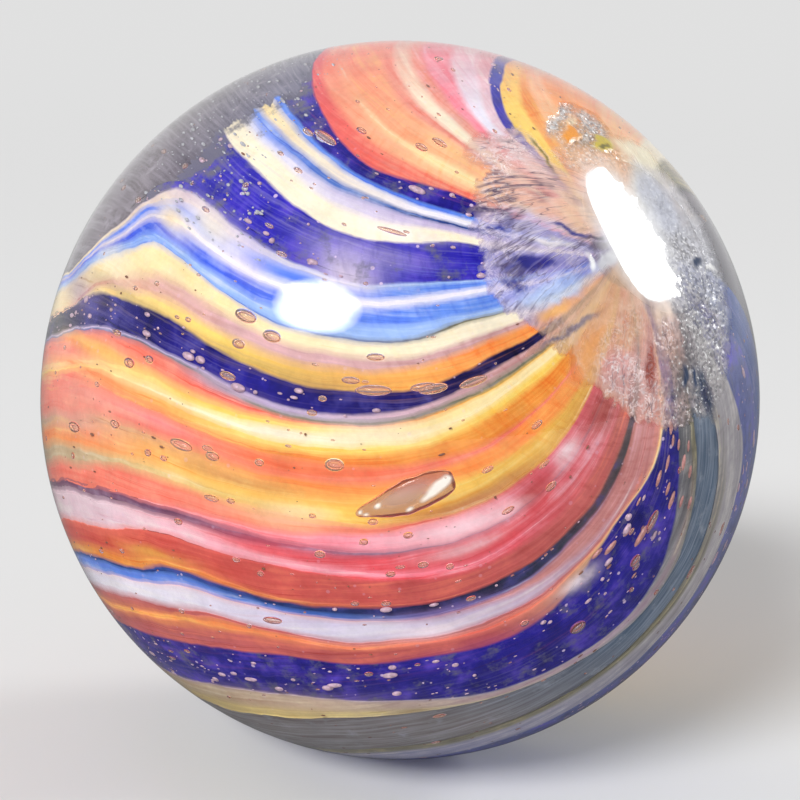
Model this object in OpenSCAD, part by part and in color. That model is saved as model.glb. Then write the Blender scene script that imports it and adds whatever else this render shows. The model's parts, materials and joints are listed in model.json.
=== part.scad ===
// Hand-made swirl marble: a clear glass ball with a ground pontil flat. Under its
// surface lie strands of coloured glass, which run from pole to pole and turn about
// one axis. Fused in the fire, the clear glass and the strands are one lump.
// Millimetres and degrees, +Z up, origin at the centre of the ball.

/* [Ball] */
// Diameter of the ball
ball_d = 19; // [14:0.5:30]

/* [Pontil] */
// Diameter of the flat ground where the glass was broken off its rod
pontil_d = 4.1; // [2:0.1:4.8]
// Turn of the flat about the vertical, from +X
pontil_turn = -41; // [-180:1:180]
// Tilt of the flat's normal from the vertical
pontil_tilt = 56.5; // [50:0.5:70]

/* [Strands] */
// Clear glass between the ball's surface and the strands
casing_t = 0.45; // [0.35:0.05:0.8]
// Thickness of the coloured strands
strand_t = 0.5; // [0.3:0.05:1]
// Clear glass left round both ends of the strands' axis, as an angle from it
pole_gap = 10; // [9:1:20]
// Turn of the strands' axis about the vertical, from +X
axis_turn = -49.5; // [-180:1:180]
// Tilt of the strands' axis from the vertical
axis_tilt = 59; // [0:1:90]
// Roll of all the strands about their axis
axis_roll = -113; // [-180:1:180]

/* [Swirl] */
// How far a strand turns about the axis on its way from pole to pole
swirl_turn = 82; // [0:1:120]
// Angle from the near pole at which it turns fastest
swirl_middle = 62; // [40:1:120]
// Spread of the turn to either side of that angle
swirl_spread = 41; // [20:1:60]

/* [Smoothness] */
// Steps along a strand, from pole to pole
strand_steps = 18; // [12:1:24]
// Widest part of a strand that is made as one flat strip, as an angle
strip_width = 13; // [8:1:20]

/* [Hidden] */

ball_r = ball_d/2;
outer_r = ball_r - casing_t;
inner_r = outer_r - strand_t;
pontil_drop = sqrt(pow(ball_r, 2) - pow(pontil_d/2, 2));
far_end = 180 - pole_gap;
step_angle = (far_end - pole_gap)/strand_steps;
// Angle from the near pole to the waist, where the strands are widest
waist = 90;

// The strands' edges are given at four stations, at these angles from the near pole:
// just below the pontil, on the shoulder, near the waist and beyond it.
first_station = 25;
station_step = 25;

// Every strand in order about the axis: its glass, the longitude of its left edge at the
// four stations, and the angle from the near pole at which it ends. It reaches to the left
// edge of the next one. "clear" is a gap of clear glass.
STRANDS = [
    ["yellow", [-118, -120, -130, -135], far_end],
    ["cream",  [-108, -106, -116, -122], far_end],
    ["orange", [-100,  -98, -110, -116], far_end],
    ["coral",  [ -84,  -84,  -98, -105], far_end],
    ["orange", [ -66,  -67,  -84,  -92], far_end],
    ["navy",   [ -44,  -61,  -72,  -80], far_end],
    ["white",  [ -40,  -57,  -68,  -76], far_end],
    ["pink",   [ -31,  -43,  -55,  -63], far_end],
    ["cream",  [ -26,  -33,  -45,  -53], far_end],
    ["orange", [ -19,  -25,  -36,  -45], far_end],
    ["yellow", [ -10,  -12,  -26,  -36], far_end],
    ["coral",  [  -6,   -8,  -23,  -33], far_end],
    ["cobalt", [  -1,    1,  -18,  -28], 51],
    ["sky",    [   6,    8,    3,   -4], 58],
    ["white",  [   9,   10,    6,   -1], 58],
    ["sky",    [  12,   13,    9,    3], 60],
    ["cream",  [  14,   16,   12,    7], 63],
    ["cobalt", [  18,   23,   18,   12], 67],
    ["sky",    [  29,   35,   36,   37], 75],
    ["white",  [  35,   40,   40,   43], 75],
    ["sky",    [  37,   42,   42,   46], 79],
    ["white",  [  41,   46,   45,   51], 83],
    ["cream",  [  45,   49,   47,   61], far_end],
    ["orange", [  51,   55,   53,   65], far_end],
    ["navy",   [  56,   60,   57,   67], far_end],
    ["pink",   [  60,   65,   63,   70], far_end],
    ["coral",  [  64,   67,   65,   71], far_end],
    ["yellow", [  65,   68,   69,   75], far_end],
    ["orange", [  71,   75,   74,   79], far_end],
    ["coral",  [  82,   79,   76,   80], far_end],
    ["yellow", [  84,   82,   81,   86], far_end],
    ["cream",  [  90,   91,   86,   88], far_end],
    ["coral",  [  91,   92,   88,   91], far_end],
    ["pink",   [  92,   93,   93,   95], far_end],
    ["violet", [  97,   98,   94,   96], far_end],
    ["pink",   [  98,   99,   97,   98], far_end],
    ["red",    [ 105,  105,  101,  102], far_end],
    ["navy",   [ 111,  111,  107,  108], far_end],
    ["white",  [ 115,  115,  111,  111], far_end],
    ["red",    [ 123,  119,  118,  115], far_end],
    ["cobalt", [ 128,  124,  124,  123], far_end],
    ["cream",  [ 142,  148,  139,  134], far_end],
    ["clear",  [ 145,  152,  145,  142], far_end],
    ["yellow", [ 156,  161,  160,  158], far_end],
    ["white",  [ 160,  164,  163,  161], far_end],
    ["cobalt", [ 166,  173,  172,  170], far_end],
    ["clear",  [ 205,  204,  200,  198], far_end]];

function glass(i) = STRANDS[i][0];
function strand_end(i) = STRANDS[i][2];

// A smooth curve through the four values v, at t stations from the first one. It is level
// at both ends, and stays level beyond them.
function through(v, t) =
    let (i = min(2, max(0, floor(t))),
         u = min(1, max(0, t - i)),
         rise = v[i + 1] - v[i],
         slope_in = i == 0 ? 0 : (v[i + 1] - v[i - 1])/2,
         slope_out = i == 2 ? 0 : (v[i + 2] - v[i])/2)
    v[i] + slope_in*u + (3*rise - 2*slope_in - slope_out)*pow(u, 2)
        + (slope_in + slope_out - 2*rise)*pow(u, 3);

// Left edge of strand i at the angle a from the near pole. The last strand ends where
// the first one starts, one full turn on.
function left_edge(i, a) = i == len(STRANDS)
    ? 360 + left_edge(0, a)
    : through(STRANDS[i][1], (a - first_station)/station_step);

// How far all the strands have turned about the axis at the angle a from the near pole
function swirl(a) = -swirl_turn/(1 + exp(2*(swirl_middle - a)/swirl_spread));

// Strips that strand i is made of, side by side
function strips(i) = ceil((left_edge(i + 1, waist) - left_edge(i, waist))/strip_width);

// Steps that strand i has along its length
function steps(i) = max(1, round((strand_end(i) - pole_gap)/step_angle));

// Point on a line that runs down the strands, at the given radius
function line_point(line, k, r) =
    let (a = pole_gap + k*step_angle,
         left = left_edge(line[0], a),
         right = left_edge(line[0] + 1, a),
         turn = left + (right - left)*line[1] + swirl(a))
    r*[sin(a)*cos(turn), sin(a)*sin(turn), cos(a)];

// One closed solid over the strands first to last, which lie edge to edge. Every strip is
// a row of cells. A cell's wall is drawn only where no other cell backs it, so a single
// strand and the hollow for a whole group of them share the same faces.
module ribbon(first, last) {
    strip_list = [for (i = [first:last]) for (j = [0:strips(i) - 1]) [i, j/strips(i)]];
    lines = concat(strip_list, [[last, 1]]);
    n = len(strip_list);
    row = strand_steps + 1;
    function full(c, k) = c >= 0 && c < n && k >= 0 && k < steps(strip_list[c][0]);
    function out(line, k) = 2*(line*row + k);
    function in(line, k) = out(line, k) + 1;
    function quad(a, b, c, d) = [[a, b, c], [a, c, d]];
    points = [for (line = lines) for (k = [0:strand_steps]) for (r = [outer_r, inner_r])
        line_point(line, k, r)];
    faces = [for (c = [0:n - 1]) for (k = [0:steps(strip_list[c][0]) - 1])
        let (d = c + 1, m = k + 1)
        for (wall = [
            quad(out(c, k), out(d, k), out(d, m), out(c, m)),
            quad(in(d, m), in(d, k), in(c, k), in(c, m)),
            full(c - 1, k) ? [] : quad(out(c, k), out(c, m), in(c, m), in(c, k)),
            full(d, k) ? [] : quad(in(d, m), out(d, m), out(d, k), in(d, k)),
            full(c, k - 1) ? [] : quad(in(d, k), out(d, k), out(c, k), in(c, k)),
            full(c, m) ? [] : quad(out(c, m), out(d, m), in(d, m), in(c, m))])
        for (face = wall) face];
    polyhedron(points, faces, convexity = 8);
}

// Strands that start and end a group with clear glass on both sides
function starts_group(i) = glass(i) != "clear"
    && glass((i + len(STRANDS) - 1)%len(STRANDS)) == "clear";
function group_end(i) = glass(i + 1) == "clear" ? i : group_end(i + 1);

// Turns what stands on the vertical axis to the strands' own axis
module on_strand_axis() {
    rotate([0, axis_tilt, axis_turn]) rotate([0, 0, axis_roll]) children();
}

module strands_of(name) {
    on_strand_axis() for (i = [0:len(STRANDS) - 1]) if (glass(i) == name) ribbon(i, i);
}

module strand_hollows() {
    on_strand_axis() for (i = [0:len(STRANDS) - 1]) if (starts_group(i)) ribbon(i, group_end(i));
}

// What the grinding wheel took off the ball at the pontil
module pontil_cut() {
    rotate([0, pontil_tilt, pontil_turn])
        translate([-pontil_d, -pontil_d, pontil_drop]) cube(2*pontil_d);
}

module clear_glass() {
    color("lightcyan", 0.25) difference() {
        sphere(ball_r, $fn = 96);
        pontil_cut();
        strand_hollows();
    }
}

module cobalt_strands() { color("mediumblue") strands_of("cobalt"); }
module navy_strands() { color("midnightblue") strands_of("navy"); }
module sky_strands() { color("cornflowerblue") strands_of("sky"); }
module white_strands() { color("white") strands_of("white"); }
module cream_strands() { color("navajowhite") strands_of("cream"); }
module yellow_strands() { color("gold") strands_of("yellow"); }
module orange_strands() { color("darkorange") strands_of("orange"); }
module coral_strands() { color("salmon") strands_of("coral"); }
module red_strands() { color("crimson") strands_of("red"); }
module pink_strands() { color("lightpink") strands_of("pink"); }
module violet_strands() { color("mediumpurple") strands_of("violet"); }

clear_glass();
cobalt_strands();
navy_strands();
sky_strands();
white_strands();
cream_strands();
yellow_strands();
orange_strands();
coral_strands();
red_strands();
pink_strands();
violet_strands();
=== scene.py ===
import json
import math

import bpy
from mathutils import Matrix, Vector, noise


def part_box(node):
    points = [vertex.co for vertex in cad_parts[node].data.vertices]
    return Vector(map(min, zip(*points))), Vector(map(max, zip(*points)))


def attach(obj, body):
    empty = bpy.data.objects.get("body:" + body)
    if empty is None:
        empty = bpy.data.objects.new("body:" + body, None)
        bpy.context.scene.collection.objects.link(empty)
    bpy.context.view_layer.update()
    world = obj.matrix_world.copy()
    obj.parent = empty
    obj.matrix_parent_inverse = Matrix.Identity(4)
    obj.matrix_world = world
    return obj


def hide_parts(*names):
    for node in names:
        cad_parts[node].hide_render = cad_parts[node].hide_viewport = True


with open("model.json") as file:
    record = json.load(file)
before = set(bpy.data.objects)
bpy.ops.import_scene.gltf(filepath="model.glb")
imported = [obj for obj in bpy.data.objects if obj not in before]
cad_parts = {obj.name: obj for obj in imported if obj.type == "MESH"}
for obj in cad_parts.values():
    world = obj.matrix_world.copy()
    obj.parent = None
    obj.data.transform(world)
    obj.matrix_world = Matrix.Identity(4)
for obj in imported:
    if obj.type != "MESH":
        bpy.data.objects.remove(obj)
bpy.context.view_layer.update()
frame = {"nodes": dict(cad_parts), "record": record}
print("frame loaded")

mm = 0.001
scene = bpy.context.scene
noise.seed_set(1)  # without it the vector noise starts from the clock
pureWhite = (1.0, 1.0, 1.0, 1.0)
glassBend = 1.5  # index of refraction

# sizes that come from the solids
low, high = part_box("clear_glass")
ballRadius = (high.z - low.z) / 2
flatMount = [m for m in frame["record"]["mounts"] if m["name"] == "pontil_flat"][0]
flatNormal = Vector(flatMount["axis"]).normalized()
flatDrop = Vector(flatMount["pos_m"]).length
flatRight = Vector((0, 0, 1)).cross(flatNormal).normalized()
flatUp = flatNormal.cross(flatRight)
strandReach = [v.co.length for v in frame["nodes"]["cobalt_strands"].data.vertices]
strandOuter, strandInner = max(strandReach), min(strandReach)

# the strands' axis and how far they turn round it, in degrees
swirl = {
    "axisTurn": -49.5,
    "axisTilt": 59,
    "axisRoll": -113,
    "turn": 82,
    "middle": 62,
    "spread": 41,
}
strandFrame = (
    Matrix.Rotation(math.radians(swirl["axisTurn"]), 3, "Z")
    @ Matrix.Rotation(math.radians(swirl["axisTilt"]), 3, "Y")
    @ Matrix.Rotation(math.radians(swirl["axisRoll"]), 3, "Z")
)


def wrapPoint(longitude, polar, radius):  # chart degrees to a point in the ball
    swirled = -swirl["turn"] / (1 + math.exp(2 * (swirl["middle"] - polar) / swirl["spread"]))
    turn, tilt = math.radians(longitude + swirled), math.radians(polar)
    point = Vector((math.sin(tilt) * math.cos(turn), math.sin(tilt) * math.sin(turn), math.cos(tilt)))
    return strandFrame @ point * radius


def screenColour(red, green, blue):  # a colour as seen on screen, made linear
    linear = [c / 12.92 if c <= 0.04045 else ((c + 0.055) / 1.055) ** 2.4 for c in (red, green, blue)]
    return (*linear, 1)


def between(first, last, share):
    return first + (last - first) * share


def clamped(value):
    return min(1, max(0, value))


def wave(x, y, z):  # smooth noise, from about -1 to 1
    return noise.noise(Vector((x, y, z)))


def newObject(name, data):
    made = bpy.data.objects.new(name, data)
    scene.collection.objects.link(made)
    return made


def newMesh(name, points, faces):
    mesh = bpy.data.meshes.new(name)
    mesh.from_pydata(points, [], faces)
    return mesh


def storeValues(mesh, label, values):
    mesh.attributes.new(label, "FLOAT", "POINT").data.foreach_set("value", values)


def storeColours(mesh, label, values):
    mesh.attributes.new(label, "FLOAT_COLOR", "POINT").data.foreach_set("color", values)


def gridFaces(first, columns, rows):  # faces over a grid of points, which are given column by column
    for c in range(columns):
        for r in range(rows):
            a = first + c * (rows + 1) + r
            b = a + rows + 1
            yield a, a + 1, b + 1, b


def finishPiece(piece, slot, *nodes):
    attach(piece, "root")
    if nodes:
        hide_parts(*nodes)
    print("made", piece.name, len(piece.data.polygons), "faces")


# node trees: a wire is what a node gives, and sums are written with it as with a number


def sumOf(operation, swapped=False):
    def made(wire, other):
        first, second = (other, wire) if swapped else (wire, other)
        return wire.tree.maths(operation, first, second)

    return made


class Wire:
    def __init__(self, tree, node, output=0):
        self.tree, self.node, self.output = tree, node, output

    __add__, __radd__ = sumOf("ADD"), sumOf("ADD", True)
    __sub__, __rsub__ = sumOf("SUBTRACT"), sumOf("SUBTRACT", True)
    __mul__, __rmul__ = sumOf("MULTIPLY"), sumOf("MULTIPLY", True)
    __truediv__, __rtruediv__ = sumOf("DIVIDE"), sumOf("DIVIDE", True)
    __pow__, atLeast, atMost = sumOf("POWER"), sumOf("MAXIMUM"), sumOf("MINIMUM")

    def __abs__(self):
        return self.tree.maths("ABSOLUTE", self)

    def __getitem__(self, output):  # another output of the same node
        return Wire(self.tree, self.node, output)

    def parts(self):
        split = self.tree.add("ShaderNodeSeparateXYZ", {0: self})
        return split[0], split[1], split[2]

    def mapped(self, fromLow, fromHigh, toLow=0.0, toHigh=1.0):  # held between the two ends
        inputs = {0: self, 1: fromLow, 2: fromHigh, 3: toLow, 4: toHigh}
        return self.tree.add("ShaderNodeMapRange", inputs, clamp=True)

    def noise(self, scale, detail=2.0, roughness=0.5):
        inputs = {"Vector": self, "Scale": scale, "Detail": detail, "Roughness": roughness}
        return self.tree.add("ShaderNodeTexNoise", inputs)


class Tree:
    def __init__(self, nodeTree):
        self.nodeTree = nodeTree
        nodeTree.nodes.clear()

    def add(self, kind, inputs=None, **settings):
        node = self.nodeTree.nodes.new(kind)
        for name, value in settings.items():
            setattr(node, name, value)
        for key, value in (inputs or {}).items():
            for one in value if isinstance(value, list) else [value]:
                if isinstance(one, Wire):
                    self.nodeTree.links.new(one.node.outputs[one.output], node.inputs[key])
                else:
                    node.inputs[key].default_value = one
        return Wire(self, node)

    def maths(self, operation, a, b=0.0):
        return self.add("ShaderNodeMath", {0: a, 1: b}, operation=operation)

    def vectorMaths(self, operation, a, b=(0.0, 0.0, 0.0), scale=1.0):
        return self.add("ShaderNodeVectorMath", {0: a, 1: b, 3: scale}, operation=operation)

    def vector(self, x, y, z):
        return self.add("ShaderNodeCombineXYZ", {0: x, 1: y, 2: z})

    def mixed(self, share, *tones):  # a tone of three numbers is a colour as seen on screen
        first, second = (
            screenColour(*tone) if isinstance(tone, tuple) and len(tone) == 3 else tone for tone in tones
        )
        return self.add("ShaderNodeMix", {0: share, 6: first, 7: second}, data_type="RGBA")[2]

    def attribute(self, label, output="Fac"):
        return self.add("ShaderNodeAttribute", attribute_name=label)[output]

    def place(self):  # in metres from the middle of the ball
        return self.add("ShaderNodeTexCoord")["Object"]

    def chart(self):  # shares of a turn round the strands' axis and of the way from pole to pole
        return self.add("ShaderNodeUVMap", uv_map="UVMap").parts()

    def solidSurface(self, inputs):
        shader = self.add("ShaderNodeBsdfPrincipled", inputs)
        self.add("ShaderNodeOutputMaterial", {"Surface": shader})

    def glassSurface(self, inputs):  # lets lamplight through, so that it falls on what lies inside
        shader = self.add("ShaderNodeBsdfPrincipled", inputs)
        rays = self.add("ShaderNodeLightPath")
        share = rays["Is Shadow Ray"].atLeast(rays["Is Diffuse Ray"])
        through = self.add("ShaderNodeBsdfTransparent", {"Color": pureWhite})
        both = self.add("ShaderNodeMixShader", {0: share, 1: shader, 2: through})
        self.add("ShaderNodeOutputMaterial", {"Surface": both})


def newMaterial(name):
    material = bpy.data.materials.new(name)
    material.use_nodes = True
    return material, Tree(material.node_tree)


def newShapeTree(name, inputs, output):  # an input is given by its default or its kind
    tree = Tree(bpy.data.node_groups.new(name, "GeometryNodeTree"))
    sockets = tree.nodeTree.interface
    for label, value in inputs.items():
        kind = value if isinstance(value, str) else type(value).__name__.capitalize()
        socket = sockets.new_socket(label, in_out="INPUT", socket_type="NodeSocket" + kind)
        if kind != value:
            socket.default_value = value
    sockets.new_socket(output, in_out="OUTPUT", socket_type="NodeSocket" + output)
    return tree, tree.add("NodeGroupInput")


def closeShapeTree(tree, geometry, glass):
    whole = tree.add("GeometryNodeRealizeInstances", {"Geometry": geometry})
    smooth = tree.add("GeometryNodeSetShadeSmooth", {"Geometry": whole})
    glazed = tree.add("GeometryNodeSetMaterial", {"Geometry": smooth, "Material": glass})
    tree.add("NodeGroupOutput", {"Geometry": glazed})
    return tree


def meshFromTree(name, mesh, tree, values):  # runs a tree on a mesh and keeps the plain result
    source = newObject(name + "Source", mesh)
    modifier = source.modifiers.new("shape", "NODES")
    modifier.node_group = tree.nodeTree
    for item in tree.nodeTree.interface.items_tree:
        if item.in_out == "INPUT" and item.name in values:
            modifier[item.identifier] = values[item.name]
    depsgraph = bpy.context.evaluated_depsgraph_get()
    made = bpy.data.meshes.new_from_object(
        source.evaluated_get(depsgraph), preserve_all_data_layers=True, depsgraph=depsgraph
    )
    bpy.data.objects.remove(source)
    made.name = name
    return newObject(name, made)


# camera, lamps and floor

studio = {
    "elevation": 12.5,
    "lens": 88,
    "distance": 52.47 * mm,
    "sensor": 36,
    "floorTone": 0.90,
    "floorReach": 3.0,
    "floorFade": (-1.6, -0.3),  # powers of ten, in metres, between which it turns into the room's tone
    "floorDimming": 0.75,  # in what the ball mirrors
    "roomTone": 0.88,
    "roomShade": (-0.3, 0.7),  # from behind the camera to behind the ball
    "darkSide": 0.06,  # what the ball mirrors from behind the camera
    "fill": 0.42,
    "lampRim": (0.5, 0.3),  # a lamp fades between these, in shares of its width
    "lampGlow": 1.6,
}
lamps = {
    "keyLamp": {"toward": (-0.404, -0.674, 0.618), "distance": 1.2, "size": (0.60, 0.36), "power": 10.5},
    "sideLamp": {"toward": (0.80, 0.40, 0.456), "distance": 1.2, "size": (0.42, 0.30), "power": 4.0},
}


def makeCamera():
    tilt = math.radians(studio["elevation"])
    toward = Vector((0, -math.cos(tilt), math.sin(tilt)))
    data = bpy.data.cameras.new("camera")
    data.lens = studio["lens"]
    data.sensor_width = studio["sensor"]
    data.clip_start = 1 * mm
    data.clip_end = 20
    camera = newObject("camera", data)
    camera.location = toward * studio["distance"]
    camera.rotation_euler = toward.to_track_quat("Z", "Y").to_euler()
    scene.camera = camera


def makeLamp(name, toward, distance, size, power):
    data = bpy.data.lights.new(name, "AREA")
    data.shape = "ELLIPSE"
    data.size, data.size_y = size
    data.energy = power
    data.use_nodes = True
    tree = Tree(data.node_tree)
    spot = tree.add("ShaderNodeNewGeometry")["Parametric"]
    centred = tree.vectorMaths("SUBTRACT", spot, (0.5, 0.5, 0.0))
    fromMiddle = tree.vectorMaths("LENGTH", centred)["Value"]
    glow = fromMiddle.mapped(*studio["lampRim"], 0.0, studio["lampGlow"])
    tree.add("ShaderNodeOutputLight", {"Surface": tree.add("ShaderNodeEmission", {"Strength": glow})})
    lamp = newObject(name, data)
    direction = Vector(toward).normalized()
    lamp.location = direction * distance
    lamp.rotation_euler = direction.to_track_quat("Z", "Y").to_euler()


def seenDirectly(tree):  # 1 for what the eye, a mirror or glass sees, 0 for light on things
    rays = tree.add("ShaderNodeLightPath")
    return rays["Is Camera Ray"].atLeast(rays["Is Glossy Ray"]).atLeast(rays["Is Transmission Ray"])


def makeRoom():
    world = bpy.data.worlds.new("room")
    world.use_nodes = True
    scene.world = world
    tree = Tree(world.node_tree)
    toward = tree.add("ShaderNodeTexCoord")["Generated"].parts()
    bright = toward[1].mapped(*studio["roomShade"], studio["darkSide"], 1.0)
    unseen = 1.0 - tree.add("ShaderNodeLightPath")["Is Camera Ray"]
    level = 1.0 - unseen * (1.0 - bright)
    room = screenColour(*[studio["roomTone"]] * 3)
    shown = tree.add("ShaderNodeBackground", {"Color": room, "Strength": level})
    fill = tree.add("ShaderNodeBackground", {"Color": pureWhite, "Strength": studio["fill"]})
    mixed = tree.add("ShaderNodeMixShader", {0: seenDirectly(tree), 1: fill, 2: shown})
    tree.add("ShaderNodeOutputWorld", {"Surface": mixed})


def makeFloor():
    reach, level = studio["floorReach"], -ballRadius
    corners = [(-reach, -reach, level), (reach, -reach, level), (reach, reach, level), (-reach, reach, level)]
    mesh = newMesh("floor", corners, [(0, 1, 2, 3)])
    floor = newObject("floor", mesh)
    material, tree = newMaterial("paleFloor")
    away = tree.maths("LOGARITHM", tree.vectorMaths("LENGTH", tree.place())["Value"], 10.0)
    start, end = studio["floorFade"]
    far = tree.add("ShaderNodeMapRange", {0: away, 1: start, 2: end}, interpolation_type="SMOOTHERSTEP")
    dimmed = tree.add("ShaderNodeLightPath")["Is Glossy Ray"] * studio["floorDimming"]
    colour = tree.mixed(dimmed, (studio["floorTone"],) * 3, (0.0, 0.0, 0.0))
    near = tree.add("ShaderNodeBsdfDiffuse", {"Color": colour})
    room = screenColour(*[studio["roomTone"]] * 3)
    plain = tree.add("ShaderNodeEmission", {"Color": room, "Strength": 1.0})
    mixed = tree.add("ShaderNodeMixShader", {0: far * seenDirectly(tree), 1: near, 2: plain})
    tree.add("ShaderNodeOutputMaterial", {"Surface": mixed})
    mesh.materials.append(material)


makeCamera()
for name, lamp in lamps.items():
    makeLamp(name, **lamp)
makeRoom()
makeFloor()
scene.view_settings.view_transform = "Standard"
print("camera, lamps and floor set")

# coloured glasses: the tone that the pale streaks of each go to, and how streaky it is

glasses = {
    "cobalt": {"pale": (0.42, 0.32, 0.86), "streaky": 0.55},
    "navy": {"pale": (0.34, 0.32, 0.66), "streaky": 0.45},
    "sky": {"pale": (0.86, 0.90, 1.00), "streaky": 0.90},
    "white": {"pale": (1.00, 0.97, 0.94), "streaky": 0.80},
    "cream": {"pale": (1.00, 0.95, 0.82), "streaky": 0.75},
    "yellow": {"pale": (1.00, 0.92, 0.60), "streaky": 0.90},
    "orange": {"pale": (1.00, 0.80, 0.45), "streaky": 0.95},
    "coral": {"pale": (1.00, 0.72, 0.60), "streaky": 0.80},
    "red": {"pale": (1.00, 0.55, 0.42), "streaky": 0.80},
    "pink": {"pale": (1.00, 0.80, 0.85), "streaky": 0.85},
    "violet": {"pale": (0.80, 0.72, 0.84), "streaky": 0.60},
}

shades = {
    "ink": (0.10, 0.08, 0.28),
    "deepCobalt": (0.13, 0.10, 0.56),
    "cobalt": (0.15, 0.11, 0.70),
    "dusk": (0.38, 0.42, 0.66),
    "steel": (0.18, 0.32, 0.62),
    "strongBlue": (0.20, 0.36, 0.90),
    "azure": (0.30, 0.50, 0.95),
    "sky": (0.42, 0.58, 0.93),
    "paleSky": (0.66, 0.77, 0.96),
    "snow": (0.95, 0.93, 0.98),
    "lilac": (0.80, 0.74, 0.87),
    "mist": (0.62, 0.62, 0.74),
    "blush": (0.94, 0.82, 0.86),
    "paleCream": (1.0, 0.95, 0.85),
    "cream": (1.0, 0.90, 0.68),
    "tan": (0.78, 0.68, 0.54),
    "mauve": (0.82, 0.64, 0.64),
    "yellow": (1.0, 0.84, 0.42),
    "gold": (0.96, 0.74, 0.34),
    "orange": (1.0, 0.64, 0.34),
    "amber": (0.96, 0.60, 0.26),
    "peach": (1.0, 0.76, 0.58),
    "salmon": (0.94, 0.64, 0.58),
    "coral": (0.97, 0.51, 0.43),
    "scarlet": (0.87, 0.35, 0.30),
    "crimson": (0.92, 0.34, 0.38),
    "rust": (0.78, 0.34, 0.33),
    "rose": (0.93, 0.42, 0.48),
    "pink": (1.0, 0.60, 0.67),
    "palePink": (1.0, 0.78, 0.82),
    "plum": (0.48, 0.30, 0.42),
    "teal": (0.24, 0.30, 0.33),
    "moss": (0.52, 0.50, 0.42),
    "slate": (0.42, 0.42, 0.44),
    "pewter": (0.68, 0.66, 0.68),
    "brick": (0.80, 0.41, 0.40),
    "umber": (0.68, 0.40, 0.36),
    "straw": (0.86, 0.76, 0.50),
    "flame": (0.96, 0.50, 0.28),
    "dustyPink": (0.84, 0.57, 0.56),
    "brown": (0.78, 0.50, 0.36),
    "dove": (0.72, 0.62, 0.70),
    "violet": (0.52, 0.42, 0.66),
    "haze": (0.66, 0.61, 0.84),
    "sandPink": (0.86, 0.74, 0.66),
}

strandLook = {
    "fine": (0.9, 26.0),  # streaks: degrees across the strand and along it
    "broad": (3.0, 18.0),
    "hair": (1.1, 70.0),
    "hairPatch": (7.0, 24.0),
    "smoky": (0.7, 22.0),  # how one glass frays into the next
    "ripple": (7.0, 1.1),  # brown ripples across the strands below the skin
    "rippleShare": 0.5,
    "streakShare": 3.4,
    "blotchShare": 6.5,
    "blotch": 1300.0,  # sizes of patterns, per metre
    "cloud": 900.0,
    "grain": 9000.0,
    "speck": 5000.0,
    "fray": 2300.0,
    "blotchy": {"cobalt": 1.0, "navy": 1.0},
    "speckled": {"cobalt": 0.75, "navy": 0.55},
    "lost": {"cobalt": 0.1},  # from where on an open end turns to haze
    # the tone of the painted highlights
    "bright": (1.0, 0.93, 0.95),
    "speckTone": (0.90, 0.80, 0.92),
    # painted shade: the strands' inner faces, which lie unlit inside the ball, turn grey
    "innerTone": (0.40, 0.41, 0.46),
    "tipTone": (0.42, 0.41, 0.47),
}


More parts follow.
